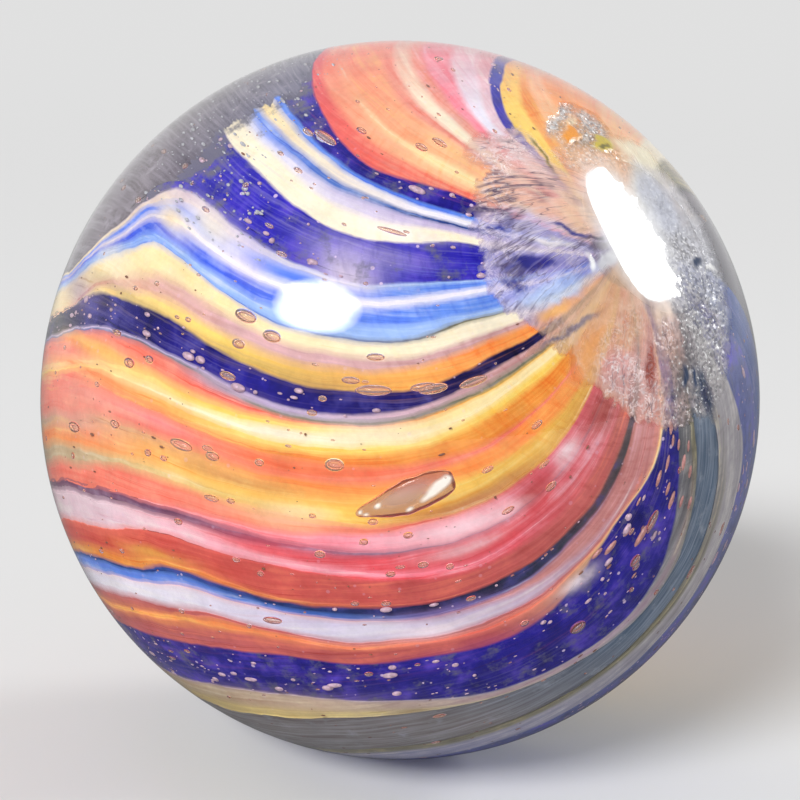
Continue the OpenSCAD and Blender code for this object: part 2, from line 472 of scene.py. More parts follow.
def strandMaterial(name, number):
    look = strandLook
    material, tree = newMaterial(name + "Glass")
    place = tree.chart()
    across, along = place[0] * 360.0, place[1] * 180.0
    spot = tree.place()

    def streak(size, seed, detail, roughness=0.55):  # about -0.5 to 0.5
        width, length = size
        return tree.vector(across / width, along / length, seed).noise(1.0, detail, roughness) - 0.5

    shade = tree.attribute("shade", "Color")
    deep = tree.vectorMaths("MULTIPLY", shade, shade)
    blotchy = look["blotchy"].get(name, 0.35)
    streaky = look["streakShare"] * glasses[name]["streaky"] * (1.2 - 0.8 * blotchy)
    fine = streak(look["fine"], number * 3.1, 3.0)
    tone = (fine + streak(look["broad"], number * 5.7, 2.0)) * streaky
    blotch = spot.noise(look["blotch"], 3.0, 0.6) - 0.5
    tone = blotch * (look["blotchShare"] * blotchy) + tone
    colour = tree.mixed(tone.mapped(0.0, -2.0, 0.0, 0.9), shade, deep)
    colour = tree.mixed(tone.mapped(0.0, 2.0, 0.0, 0.9), colour, glasses[name]["pale"])
    hair = abs(streak(look["hair"], number * 2.3 + 40, 2.0)).mapped(0.016, 0.0)
    hairPatch = streak(look["hairPatch"], number * 1.9 + 60, 2.0).mapped(-0.02, 0.12, 0.0, 0.75)
    colour = tree.mixed(hair * hairPatch, colour, deep)
    smoky = streak(look["smoky"], 3.7, 3.0)
    soft = (smoky * 1.1 + tree.attribute("soft")).mapped(0.0, 1.0)
    colour = tree.mixed(soft, colour, tree.attribute("border", "Color"))
    # painted highlights (glow above 0) and painted shade (glow below 0) on the strands
    glow = tree.attribute("glow")
    colour = tree.mixed(glow.mapped(0.0, 1.0), colour, look["bright"])
    colour = tree.mixed(glow.mapped(0.0, -1.0), colour, deep)
    ripple = streak(look["ripple"], 8.0, 3.0, 0.6).mapped(0.0, 0.25)
    colour = tree.mixed(ripple * along.mapped(50.0, 25.0, 0.12, look["rippleShare"]), colour, deep)
    cloud = spot.noise(look["cloud"], 3.0, 0.6).mapped(0.3, 0.7, 0.88, 1.08)
    grain = spot.noise(look["grain"], 3.0, 0.7).mapped(0.25, 0.75, 0.93, 1.04)
    colour = tree.vectorMaths("SCALE", colour, scale=cloud * grain)
    cells = tree.add("ShaderNodeTexVoronoi", {"Vector": spot, "Scale": look["speck"]})
    reach = cells["Color"].parts()[0].mapped(0.72, 1.0, -0.05, 0.30)
    speck = (reach - cells["Distance"]).mapped(0.0, 0.06)
    colour = tree.mixed(speck * look["speckled"].get(name, 0.15), colour, look["speckTone"])
    # painted shade on the inner faces
    colour = tree.mixed(tree.attribute("inner") * 0.9, colour, look["innerTone"])
    frayed = spot.noise(look["fray"], 5.0, 0.65) - 0.5
    tip = frayed * 3.0 + (smoky * 0.3 + tree.attribute("tip"))
    lost = look["lost"].get(name, 0.65)
    colour = tree.mixed(tip.mapped(lost, lost + 0.6, 0.0, 0.92), colour, look["tipTone"])
    tree.solidSurface({"Base Color": colour, "Roughness": 0.5, "Specular IOR Level": 0.1})
    return material


# strands: each has its shades at three places from the near to the far end, and its left
# edge in degrees round the axis at six stations; it reaches to the next one's left edge

stations = {"first": 25, "step": 15}
strands = [
    ["yellow", "moss gold yellow", (-118, -118, -123, -128, -132, -135)],
    ["cream", "paleCream cream cream", (-108, -106, -108, -114, -119, -122)],
    ["orange", "peach orange peach", (-100, -98, -101, -107, -113, -116)],
    ["coral", "orange salmon salmon", (-84, -83, -87, -95, -101, -105)],
    ["orange", "peach salmon peach", (-66, -65, -71, -81, -88, -92)],
    ["orange", "amber salmon cream", (-58, -61, -67, -75, -82, -86)],
    ["orange", "yellow coral orange", (-51, -59, -64, -71, -78, -82)],
    ["navy", "cobalt steel cobalt", (-43, -53.5, -61, -69, -76, -80)],
    ["white", "blush rose mist", (-39, -49.5, -57, -65, -72, -76)],
    ["white", "snow rose blush", (-35, -45, -51, -58, -65, -69)],
    ["pink", "pink rose pink", (-31.5, -37, -44, -50, -56, -62)],
    ["pink", "salmon coral blush", (-28, -31, -35, -42, -49, -55)],
    ["cream", "paleCream salmon cream", (-24, -27, -32, -39, -46, -52)],
    ["coral", "salmon coral salmon", (-20.5, -22, -27, -34, -41, -47)],
    ["orange", "peach coral orange", (-18.5, -18, -24, -30, -36, -43)],
    ["cream", "cream coral peach", (-10, -9, -14, -20, -27, -34)],
    ["coral", "peach coral coral", (-6, -7, -11.5, -18, -25.5, -31)],
    ["coral", "coral crimson scarlet", (-3.5, -2.5, -7.5, -15, -22, -28)],
    ["cobalt", "deepCobalt deepCobalt dusk", (-0.5, 3.2, -3.6, -13, -20, -26), "open"],
    ["sky", "sky sky sky", (7, 7.6, 4.4, 3, 1, 0), "open"],
    ["cream", "snow cream cream", (8.6, 8.8, 6.2, 5, 3, 2), "open"],
    ["sky", "steel sky steel", (11, 11.6, 10.2, 9, 7, 6), "open"],
    ["white", "lilac snow snow", (12.4, 13.6, 12.6, 11.4, 9, 8), "open"],
    ["cream", "paleCream paleCream cream", (15, 17.6, 14.6, 13, 11, 10), "open"],
    ["cobalt", "cobalt cobalt deepCobalt", (18.5, 23.3, 21, 18.5, 16, 15), "open"],
    ["cream", "paleSky lilac cream", (31, 34.6, 33.8, 34.8, 50, 59)],
    ["sky", "sky azure azure", (31.8, 35.8, 36, 37.2, 51, 59.4)],
    ["white", "snow snow lilac", (34, 38.2, 39.5, 39.6, 51.8, 59.8)],
    ["sky", "sky strongBlue strongBlue", (36.5, 40.5, 41.5, 41.4, 52.5, 60.2)],
    ["white", "paleSky paleSky sky", (42, 44.6, 45.2, 44.4, 53.2, 60.6)],
    ["sky", "moss sky paleSky", (44.2, 48, 48, 45.9, 54, 61)],
    ["cream", "paleCream cream cream", (45, 49, 48.5, 46.2, 55, 62)],
    ["pink", "mauve mauve peach", (50, 52.6, 52.4, 50.8, 59, 66.5)],
    ["orange", "orange yellow cream", (52.5, 55, 55.8, 54.8, 60, 67)],
    ["navy", "ink deepCobalt ink", (57, 60.2, 60.2, 58, 61, 66.2)],
    ["pink", "mauve lilac lilac", (60.8, 64.6, 65.8, 64.2, 66.5, 70)],
    ["violet", "moss moss dusk", (63.4, 66.2, 67.3, 64.6, 66.8, 70.3)],
    ["coral", "gold coral coral", (65.2, 67.5, 68.2, 65.2, 67.2, 70.6)],
    ["yellow", "cream yellow peach", (65.6, 67.9, 68.7, 69.6, 71.5, 75)],
    ["cream", "cream paleCream yellow", (68, 70, 70.3, 72, 73, 76.5)],
    ["yellow", "yellow yellow coral", (69, 71.5, 73, 72.8, 73.4, 76.7)],
    ["orange", "amber amber coral", (72, 73.6, 74.8, 75.2, 76, 79)],
    ["coral", "coral coral coral", (78.5, 78, 76.6, 76.3, 77, 79.6)],
    ["orange", "orange orange tan", (79.2, 79.8, 81, 80.6, 81.4, 83.5)],
    ["yellow", "gold yellow orange", (85, 84, 83.5, 82.5, 83, 85.5)],
    ["cream", "gold yellow tan", (89.5, 90.2, 89, 86.5, 87.3, 88.5)],
    ["coral", "rose coral coral", (90.8, 91.2, 90.5, 89.2, 89, 91.5)],
    ["pink", "rose pink coral", (91.2, 92, 92.4, 93.2, 93.4, 95)],
    ["violet", "plum plum plum", (97, 97.6, 97.2, 94.6, 93.6, 94.4)],
    ["pink", "rose crimson blush", (97.2, 98, 97.8, 96.6, 95.8, 96.4)],
    ["white", "pink pink blush", (104, 103.8, 103.2, 98.8, 96.8, 97.4)],
    ["pink", "rose crimson coral", (104.2, 104.1, 103.9, 101.2, 99.8, 102.2)],
    ["red", "brick rust scarlet", (105.5, 106, 105.3, 101.4, 99.9, 102.5)],
    ["orange", "umber rust amber", (110.8, 110.6, 110.4, 109, 105.4, 106.2)],
    ["navy", "teal ink steel", (111.3, 111.4, 111.2, 110.2, 107, 108.2)],
    ["sky", "umber steel sky", (113.9, 113.6, 114.2, 112.2, 108.2, 109)],
    ["pink", "dustyPink dustyPink blush", (114.4, 114.3, 115, 113.6, 109.8, 111.2)],
    ["white", "dustyPink lilac snow", (120.3, 118.8, 116.2, 114, 110.2, 111.4)],
    ["red", "dustyPink brick brick", (121.8, 120, 120.6, 119, 114.6, 115)],
    ["orange", "peach coral orange", (126.6, 121.0, 122.4, 120.4, 115.8, 117.4)],
    ["red", "cream rust brick", (127.2, 121.2, 123.4, 121.6, 118, 119)],
    ["cobalt", "deepCobalt deepCobalt deepCobalt", (128, 121.6, 127.2, 126, 123.4, 123)],
    ["white", "slate pewter dove", (135, 141.5, 147.8, 143.4, 135.4, 133.8)],
    ["cream", "moss dove tan", (142, 146, 148.2, 144, 135.8, 134.2)],
    ["yellow", "moss pewter straw", (143, 147.6, 150.8, 146.3, 139.8, 139)],
    ["clear", "", (144, 148.4, 152, 146.5, 142.5, 142.5)],
    ["yellow", "pewter moss moss", (156, 159.5, 160.5, 160.5, 159, 158)],
    ["white", "pewter pewter mist", (160, 164, 164.5, 163.5, 162, 161)],
    ["cobalt", "dusk dusk dusk", (170, 175, 174, 172.5, 171, 170)],
    ["violet", "steel steel steel", (188, 189, 190, 190, 189, 188)],
    ["clear", "", (205, 205, 204, 202, 200, 198)],
]

# painted light on the strands: soft painted highlights where the strength is above 0, painted shade where it
# is below 0; longitude, polar angle, reach across and along, strength
paintedLightSpots = [
    (94.5, 31, 2.0, 2.2, 0.8),
    (94.5, 47, 3.0, 9, 0.30),
    (100.5, 50, 1.2, 5, 0.45),
    (96.5, 42, 1.5, 3, 0.3),
    (118.5, 63, 2.2, 5, 0.7),
    (125, 48.5, 1.8, 2.5, 0.9),
    (34, 42, 4.5, 4, 0.6),
    (39, 57, 3.0, 4, 0.5),
    (69, 47, 2.0, 6, 0.35),
    (18.5, 33, 2.0, 6, 0.4),
    (88, 62, 1.5, 5, 0.25),
    (88.5, 49, 2.2, 7, -0.55),
    (93.5, 36, 3.0, 3, -0.5),
    (80, 33, 5.0, 2.5, -0.3),
    (26, 36, 3.0, 7, 0.15),
]

# touches of another shade: longitude, polar angle, reach across and along, shade, strength
touches = [
    (-74, 22, 17, 5, "cream", 0.7),
    (-60, 48, 8, 5, "dustyPink", 0.7),
    (-24, 33, 2, 5, "paleCream", 0.6),
    (29, 41, 4, 6, "haze", 0.65),
    (12, 57, 2, 4, "azure", 0.5),
    (36.5, 62, 3, 5, "paleCream", 0.8),
    (40, 70, 3, 4, "cream", 0.7),
    (54, 82, 3, 5, "paleCream", 0.6),
    (61.5, 50, 4, 6, "ink", 0.45),
    (58.5, 70, 1.5, 20, "ink", 0.4),
    (62, 92, 3, 6, "violet", 0.6),
    (66, 64, 1.2, 5, "dove", 0.9),
    (71, 44, 1.6, 7, "cream", 0.8),
    (70.5, 86, 1.3, 12, "yellow", 0.7),
    (75, 94, 1.2, 10, "orange", 0.6),
    (78, 76, 1.5, 8, "pink", 0.6),
    (79, 90, 2, 10, "salmon", 0.6),
    (84, 96, 3, 14, "salmon", 0.7),
    (78, 60, 2.2, 14, "flame", 0.7),
    (84, 59, 2.2, 8, "flame", 0.55),
    (83.5, 69, 1.2, 7, "brown", 0.6),
    # painted shadow beside the pink strand's painted highlight
    (90, 44, 1.8, 11, "brown", 0.85),
    (90.5, 66, 2, 6, "peach", 0.8),
    # the next two are painted highlights on the pink strand
    (95.2, 48.5, 2.2, 7, "palePink", 0.95),
    (97, 32, 1.8, 2.8, "palePink", 0.8),
    (96.5, 38, 3.5, 3.5, "rust", 0.8),
    (100, 23, 11, 6, "umber", 0.8),
    (101, 45, 2.5, 9, "crimson", 0.8),
    (106, 35, 5, 7, "brick", 0.7),
    (97, 70, 2.2, 7, "crimson", 0.7),
    (104.5, 90, 1.2, 6, "gold", 0.7),
    (114.2, 60, 1.4, 6, "violet", 0.8),
    (116.4, 69, 2, 5, "snow", 0.8),
    (132, 46, 5, 8, "cobalt", 0.5),
    (130, 62, 4, 9, "cobalt", 0.5),
    (137, 94, 3, 10, "sandPink", 0.7),
]

# where the open strands end beside the clear window: longitude and polar angle
windowEdge = [(-12, 60), (0, 57), (5, 60), (8, 62), (14, 63), (19, 66), (22, 67), (33, 70), (38, 76)]

ribbon = {
    "nearEnd": 5.0,  # degrees from the axis
    "farEnd": 175.0,
    "rows": 220,
    "columnWidth": 1.5,
    "thinnest": 0.12,  # narrower stretches are left out
    "soft": 1.1,  # degrees over which two glasses blend
    "crisp": 0.45,  # the same beside the dark blues
    "openColumnWidth": 0.5,
    "openRows": 130,
    "openFrom": 40.0,  # an open end lies between these
    "openTo": 105,
    "ragged": 3.0,  # how far the open ends reach in and out
    "fringe": 0.9,  # and their single threads
    "tipLength": 7.0,
    "waver": 0.7,
    "tipShare": 0.12,  # what is left of the thickness at an open end
    "shadeStops": (30, 60, 95),  # where the three shades lie
}
pointValues = ("tip", "soft", "inner", "glow")
pointColours = ("shade", "border")

shadeColours = {name: Vector(screenColour(*shade)[:3]) for name, shade in shades.items()}


def through(values, t):  # smooth curve through evenly spaced values
    last = len(values) - 2
    i = min(last, max(0, math.floor(t)))
    u = clamped(t - i)
    rise = values[i + 1] - values[i]
    slopeIn = 0 if i == 0 else (values[i + 1] - values[i - 1]) / 2
    slopeOut = 0 if i == last else (values[i + 2] - values[i]) / 2
    bend = 3 * rise - 2 * slopeIn - slopeOut
    return values[i] + slopeIn * u + bend * u**2 + (slopeIn + slopeOut - 2 * rise) * u**3


def leftEdge(index, polar):
    if index == len(strands):
        return 360 + leftEdge(0, polar)
    return through(strands[index][2], (polar - stations["first"]) / stations["step"])


def windowAt(longitude):
    for (x0, y0), (x1, y1) in zip(windowEdge, windowEdge[1:]):
        if longitude <= x1:
            return between(y0, y1, clamped((longitude - x0) / (x1 - x0)))
    return windowEdge[-1][1]


def openEnd(longitudeAt):  # where a column of an open strand meets the window
    key = longitudeAt(60)
    rag = ribbon["ragged"] * wave(key * 0.22, 3.3, 0)
    rag += ribbon["fringe"] * wave(key * 1.7, 9.7, 0)
    rag += 0.6 * ribbon["fringe"] * wave(key * 5.3, 1.7, 0)
    polar = ribbon["openFrom"]
    while polar < ribbon["openTo"] and polar < windowAt(longitudeAt(polar)) + rag:
        polar += 0.25
    return polar


def shadeAt(index, polar):  # linear colour of a strand along its length
    near, middle, far = [shadeColours[name] for name in strands[index % len(strands)][1].split()]
    first, second, third = ribbon["shadeStops"]
    if polar < second:
        return near.lerp(middle, clamped((polar - first) / (second - first)))
    return middle.lerp(far, clamped((polar - second) / (third - second)))


def borderWidth(index, other):  # how far the glasses blend at a border, in degrees
    pair = {strands[index][0], strands[other % len(strands)][0]}
    if "clear" in pair:
        return 0.0
    return ribbon["crisp"] if {"cobalt", "navy"} & pair else ribbon["soft"]


def borderColour(index, other, polar):
    own = shadeAt(index, polar)
    if strands[other % len(strands)][0] == "clear":
        return own
    return (own + shadeAt(other, polar)) / 2


# painted light: above 0 a painted highlight, below 0 painted shade
def glowAt(longitude, polar):  # above 0 brighter, below 0 deeper
    total = 0.0
    for x, y, across, along, strength in paintedLightSpots:
        away = ((longitude - x) / across) ** 2 + ((polar - y) / along) ** 2
        total += strength * math.exp(-away)
    return min(0.9, total)


def touched(nearby, colours, longitude, polar):
    for x, y, across, along, name, strength in nearby:
        right = (longitude - x) / across
        down = (polar - y) / along
        if -2 < right < 2 and -2 < down < 2:
            share = strength * math.exp(-right * right - down * down)
            colours = [colour.lerp(shadeColours[name], share) for colour in colours]
    return colours


def newBuild():
    labels = ("points", "faces", *pointValues, *pointColours)
    return {**{label: [] for label in labels}, "sharp": set()}


def columnsOf(index, inside):  # share across, degrees in from left and right, softness, nearest strand
    before, after = index - 1, index + 1
    left, right = borderWidth(index, before), borderWidth(index, after)
    columns = [(0, 0, 0, 1, before), (0, left / 2, 0, 0.5, before)]
    for i in range(inside + 1):
        columns.append((i / inside, left, right, 0, before if i < inside / 2 else after))
    return columns + [(1, 0, right / 2, 0.5, after), (1, 0, 0, 1, after)]


def addRibbon(build, index):
    isOpen = len(strands[index]) > 3
    widest = max(leftEdge(index + 1, p) - leftEdge(index, p) for p in range(25, 101, 5))
    inside = max(1, math.ceil(widest / ribbon["openColumnWidth" if isOpen else "columnWidth"]))
    rows = ribbon["openRows" if isOpen else "rows"]
    leftmost = min(leftEdge(index, p) for p in range(5, 176, 5))
    rightmost = max(leftEdge(index + 1, p) for p in range(5, 176, 5))
    nearby = [t for t in touches if leftmost - 2 * t[2] < t[0] < rightmost + 2 * t[2]]
    grid = []
    for share, fromLeft, fromRight, soft, other in columnsOf(index, inside):

        def longitudeAt(polar):
            left, right = leftEdge(index, polar), leftEdge(index + 1, polar)
            room = 0.3 * (right - left)
            return between(left + min(fromLeft, room), right - min(fromRight, room), share)

        end = openEnd(longitudeAt) if isOpen else ribbon["farEnd"]
        line = []
        for r in range(rows + 1):
            polar = ribbon["nearEnd"] + (end - ribbon["nearEnd"]) * r / rows
            fromTip = (end - polar) / ribbon["tipLength"] if isOpen else 1.0
            taper = min(1, between(ribbon["tipShare"], 1, max(0, fromTip)))
            longitude = longitudeAt(polar)
            colours = shadeAt(index, polar), borderColour(index, other, polar)
            colours = touched(nearby, colours, longitude, polar)
            line.append((longitude, polar, taper, 1 - clamped(fromTip), soft, *colours))
        grid.append(line)
    last = len(grid) - 1
    width = [grid[last][r][0] - grid[0][r][0] for r in range(rows + 1)]
    full = [width[r] > ribbon["thinnest"] and width[r + 1] > ribbon["thinnest"] for r in range(rows)]
    number = {}

    def corner(c, r, depth):
        if (c, r, depth) not in number:
            x, y, taper, tip, soft, shade, border = grid[c][r]
            number[(c, r, depth)] = len(build["points"])
            build["points"].append((x, y, depth * taper))
            # painted highlight or painted shade at this point, kept in the glow attribute
            for label, value in zip(pointValues, (tip, soft, depth, glowAt(x, y))):
                build[label].append(value)
            build["shade"] += [*shade, 1]
            build["border"] += [*border, 1]
        return number[(c, r, depth)]

    def face(*corners):
        build["faces"].append([corner(*spot) for spot in corners])

    def sharp(a, b):
        build["sharp"].add(frozenset((corner(*a), corner(*b))))

    def endWall(c, d, r, outward):
        face(*[(c, r, 0), (d, r, 0), (d, r, 1), (c, r, 1)][::outward])
        sharp((c, r, 0), (d, r, 0))
        sharp((c, r, 1), (d, r, 1))

    for r in range(rows):
        if not full[r]:
            continue
        s = r + 1
        for c in range(last):
            d = c + 1
            face((c, r, 0), (c, s, 0), (d, s, 0), (d, r, 0))
            face((d, r, 1), (d, s, 1), (c, s, 1), (c, r, 1))
            if r == 0 or not full[r - 1]:
                endWall(c, d, r, 1)
            if s == rows or not full[s]:
                endWall(c, d, s, -1)
        face((0, r, 1), (0, s, 1), (0, s, 0), (0, r, 0))
        face((last, r, 0), (last, s, 0), (last, s, 1), (last, r, 1))
        for c in (0, last):
            for depth in (0, 1):
                sharp((c, r, depth), (c, s, depth))


def wavered(x, y):  # the strands' edges waver a little on their way
    return x + ribbon["waver"] * (wave(x / 5.5, y / 8, 4.3) + 0.4 * wave(x / 2.2, y / 3.5, 9.1))


def chartMesh(name, build):
    points = [(wavered(x, y), y, depth) for x, y, depth in build["points"]]
    mesh = newMesh(name, points, build["faces"])
    layer = mesh.uv_layers.new(name="UVMap")
    for loop in mesh.loops:
        x, y = build["points"][loop.vertex_index][:2]
        layer.data[loop.index].uv = (x / 360, y / 180)
    for label in pointValues:
        storeValues(mesh, label, build[label])
    for label in pointColours:
        storeColours(mesh, label, build[label])
    for edge in mesh.edges:
        if frozenset(edge.vertices) in build["sharp"]:
            edge.use_edge_sharp = True
    return mesh


# node trees that bring the flat chart on to the ball

swirlInputs = {"Swirl Turn": 0.0, "Swirl Middle": 60.0, "Swirl Spread": 40.0, "Axis": "Rotation"}
swirlValues = {
    "Swirl Turn": float(swirl["turn"]),
    "Swirl Middle": float(swirl["middle"]),
    "Swirl Spread": float(swirl["spread"]),
    "Axis": strandFrame.to_euler(),
}


def wrapTree():
    inputs = {"Chart": "Vector", "Radius": 1.0, **swirlInputs}
    tree, start = newShapeTree("wrapOnBall", inputs, "Vector")
    longitude, polar = start["Chart"].parts()[:2]
    steep = (start["Swirl Middle"] - polar) * 2.0 / start["Swirl Spread"]
    share = 1.0 / (tree.maths("EXPONENT", steep) + 1.0)
    turn = tree.maths("RADIANS", longitude - share * start["Swirl Turn"])
    tilt = tree.maths("RADIANS", polar)
    out = tree.maths("SINE", tilt)
    x, y = out * tree.maths("COSINE", turn), out * tree.maths("SINE", turn)
    unit = tree.vector(x, y, tree.maths("COSINE", tilt))
    turned = tree.add("FunctionNodeRotateVector", {"Vector": unit, "Rotation": start["Axis"]})
    tree.add("NodeGroupOutput", {"Vector": tree.vectorMaths("SCALE", turned, scale=start["Radius"])})
    return tree


wrapOnBall = wrapTree()


def wrapped(tree, start, chart, radius):
    inputs = {"Chart": chart, "Radius": radius, **{label: start[label] for label in swirlInputs}}
    return tree.add("GeometryNodeGroup", inputs, node_tree=wrapOnBall.nodeTree)


# waves of a strand's edges: size across and along, seed and share
edgeWaves = [(0.09, 0.07, 0.0, 3.2), (0.5, 0.9, 4.0, 0.9), (1.3, 2.2, 9.0, 0.7)]


def strandTree():
    inputs = {
        "Geometry": "Geometry",
        "Outer Radius": 1.0,
        "Thickness": 0.1,
        "Wave": 0.5,
        "Wave Seed": 0.0,
        "Relief": 0.0,
        "Glass": "Material",
        **swirlInputs,
    }
    tree, start = newShapeTree("strandsOnBall", inputs, "Geometry")
    longitude, polar, depth = tree.add("GeometryNodeInputPosition").parts()
    shift = 0.0
    for xScale, yScale, seed, share in edgeWaves:
        place = tree.vector(longitude * xScale, polar * yScale, start["Wave Seed"] + seed)
        shift = (place.noise(1.0) - 0.5) * share + shift
    across = longitude + shift * start["Wave"]
    dip = tree.vector(longitude * 0.45, polar * 0.08, 2.0).noise(1.0) * start["Relief"]
    below = depth * start["Thickness"] + dip * (1.0 - depth)
    place = wrapped(tree, start, tree.vector(across, polar, 0.0), start["Outer Radius"] - below)
    moved = tree.add("GeometryNodeSetPosition", {"Geometry": start["Geometry"], "Position": place})
    return closeShapeTree(tree, moved, start["Glass"])


strandsOnBall = strandTree()


def chartOf(name):  # the flat chart of all the strands of one glass
    build = newBuild()
    for index, strand in enumerate(strands):
        if strand[0] == name:
            addRibbon(build, index)
    return chartMesh(name, build)


for number, name in enumerate(glasses):
    values = {
        "Outer Radius": strandOuter,
        "Thickness": strandOuter - strandInner,
        "Wave": 0.55,
        "Wave Seed": 1.5,
        "Relief": 0.03 * mm,
        "Glass": strandMaterial(name, number),
        **swirlValues,
    }
    piece = meshFromTree(name + "Strands", chartOf(name), strandsOnBall, values)
    finishPiece(piece, name + "_glass", name + "_strands")
print("strands made")

# smoke: thin haze in the clear glass, in the window where the open strands fray out and
# in the gap at the right

smokes = {
    "smoke": {
        "strands": (18, 25),  # it fills the stretch between these two strands' left edges
        "columns": 90,
        "rows": 60,
        "nearEnd": None,  # from the frayed ends on
        "fadeOut": 60.0,
        "below": 0.11 * mm,  # under the strands' outer face
        "threads": 0.20,
        "patches": 0.60,
        "least": 0.45,
        "colour": (0.42, 0.38, 0.41),
        "nearColour": (0.40, 0.40, 0.50),
        "paleColour": (0.74, 0.71, 0.76),
    },
    "gapSmoke": {
        "strands": (65, 66),
        "columns": 8,
        "rows": 90,
        "nearEnd": 20.0,
        "fadeOut": 30.0,
        "below": 0.05 * mm,
        "threads": 0.30,
        "patches": 0.25,
        "least": 0.50,
        "colour": (0.50, 0.47, 0.47),
        "nearColour": (0.34, 0.42, 0.52),
        "paleColour": (0.70, 0.72, 0.76),
    },
}
smokeThickness = 0.03 * mm
smokeEnd = 168.0


def smokeMesh(name):
    smoke = smokes[name]
    build = newBuild()
    columns, rows = smoke["columns"], smoke["rows"]
    first, last = smoke["strands"]
    for depth in (0, 1):
        for c in range(columns + 1):

            def longitudeAt(polar):
                return between(leftEdge(first, polar), leftEdge(last, polar), c / columns)

            start = smoke["nearEnd"] or openEnd(longitudeAt) - ribbon["tipLength"]
            for r in range(rows + 1):
                polar = start + (smokeEnd - start) * r / rows
                build["points"].append((longitudeAt(polar), polar, depth))
                rise = (polar - start) / ribbon["tipLength"]
                build["tip"].append(clamped(min(rise, (smokeEnd - polar) / smoke["fadeOut"])))
    under = (columns + 1) * (rows + 1)
    corners = [0, rows, columns * (rows + 1) + rows, columns * (rows + 1)]
    steps = [(1, rows), (rows + 1, columns), (-1, rows), (-rows - 1, columns)]
    build["faces"] += gridFaces(0, columns, rows)
    build["faces"] += [face[::-1] for face in gridFaces(under, columns, rows)]
    for corner, (step, count) in zip(corners, steps):  # the four side walls
        for a in range(corner, corner + step * count, step):
            b = a + step
            build["faces"].append((b, a, under + a, under + b))
    for label in ("soft", "inner", "glow"):
        build[label] = [0.0] * len(build["points"])
    for label in pointColours:
        build[label] = [1.0] * (4 * len(build["points"]))
    return chartMesh(name, build)


def smokeMaterial(name):
    smoke = smokes[name]
    material, tree = newMaterial(name)
    across, along = tree.chart()[:2]
    spot = tree.place()
    present = tree.attribute("tip").mapped(0.0, 0.5)
    threads = tree.vector(across * 400.0, along * 14.0, 1.0).noise(1.0, 3.0, 0.6).mapped(0.35, 0.7)
    patchy = spot.noise(650.0, 4.0, 0.6).mapped(0.3, 0.7)
    haze = threads * smoke["threads"] + (patchy * smoke["patches"] + smoke["least"])
    nearTips = along.mapped(80 / 180, 60 / 180)
    colour = tree.mixed(nearTips, smoke["colour"], smoke["nearColour"])
    pale = spot.noise(1800.0, 4.0, 0.7).mapped(0.5, 0.75, 0.0, 0.7)
    colour = tree.mixed(pale.atLeast(threads * 0.45), colour, smoke["paleColour"])
    colour = tree.mixed(present, pureWhite, colour)
    clear = 1.0 - haze * present
    tree.glassSurface({"Base Color": colour, "Roughness": 0.0, "IOR": 1.0, "Transmission Weight": clear})
    return material


for name, smoke in smokes.items():
    values = {
        "Outer Radius": strandOuter - smoke["below"],
        "Thickness": smokeThickness,
        "Wave": 0.0,
        "Wave Seed": 1.5,
        "Relief": 0.0,
        "Glass": smokeMaterial(name),
        **swirlValues,
    }
    finishPiece(meshFromTree(name, smokeMesh(name), strandsOnBall, values), "clear_glass")
print("smoke made")

# clear ball: the skin round the ground flat is wrinkled and cloudy

skin = {
    "segments": 480,
    "flatRings": 26,
    "skinRings": 105,
    "bodyRings": 70,
    "skinEnd": 34.0,  # degrees from the flat's middle
    "wrinkleHeight": 0.05 * mm,
    "curlHeight": 0.06 * mm,
    "frostHeight": 0.07 * mm,
    "groundDepth": 0.004 * mm,
    "waviness": 0.014 * mm,
    "twist": 0.14,  # how the wrinkles bend on their way out
}

veils = {
    "clear": (0.985, 0.99, 0.99),
    "white": (1.0, 1.0, 1.0),
    "cloud": (0.85, 0.85, 0.88),
    "blueGrey": (0.80, 0.81, 0.86),
    "warmCloud": (0.93, 0.90, 0.90),
    "ivory": (0.96, 0.93, 0.82),
    "silver": (0.80, 0.79, 0.79),
    "ash": (0.62, 0.58, 0.58),
    "rosy": (0.92, 0.78, 0.75),
    "dusty": (0.90, 0.74, 0.69),
    "wedge": (0.92, 0.77, 0.66),
    "lavender": (0.80, 0.77, 0.91),
    "ice": (0.80, 0.86, 0.99),
    "night": (0.25, 0.26, 0.56),
    "dusk": (0.30, 0.26, 0.40),
    "grey": (0.50, 0.46, 0.54),
    "sand": (0.88, 0.72, 0.58),
    "apricot": (0.94, 0.72, 0.47),
    "rust": (0.62, 0.34, 0.27),
    "pocket": (0.96, 0.62, 0.20),
    "lime": (0.82, 0.76, 0.26),
    "olive": (0.42, 0.42, 0.14),
    "deep": (0.15, 0.24, 0.38),
}

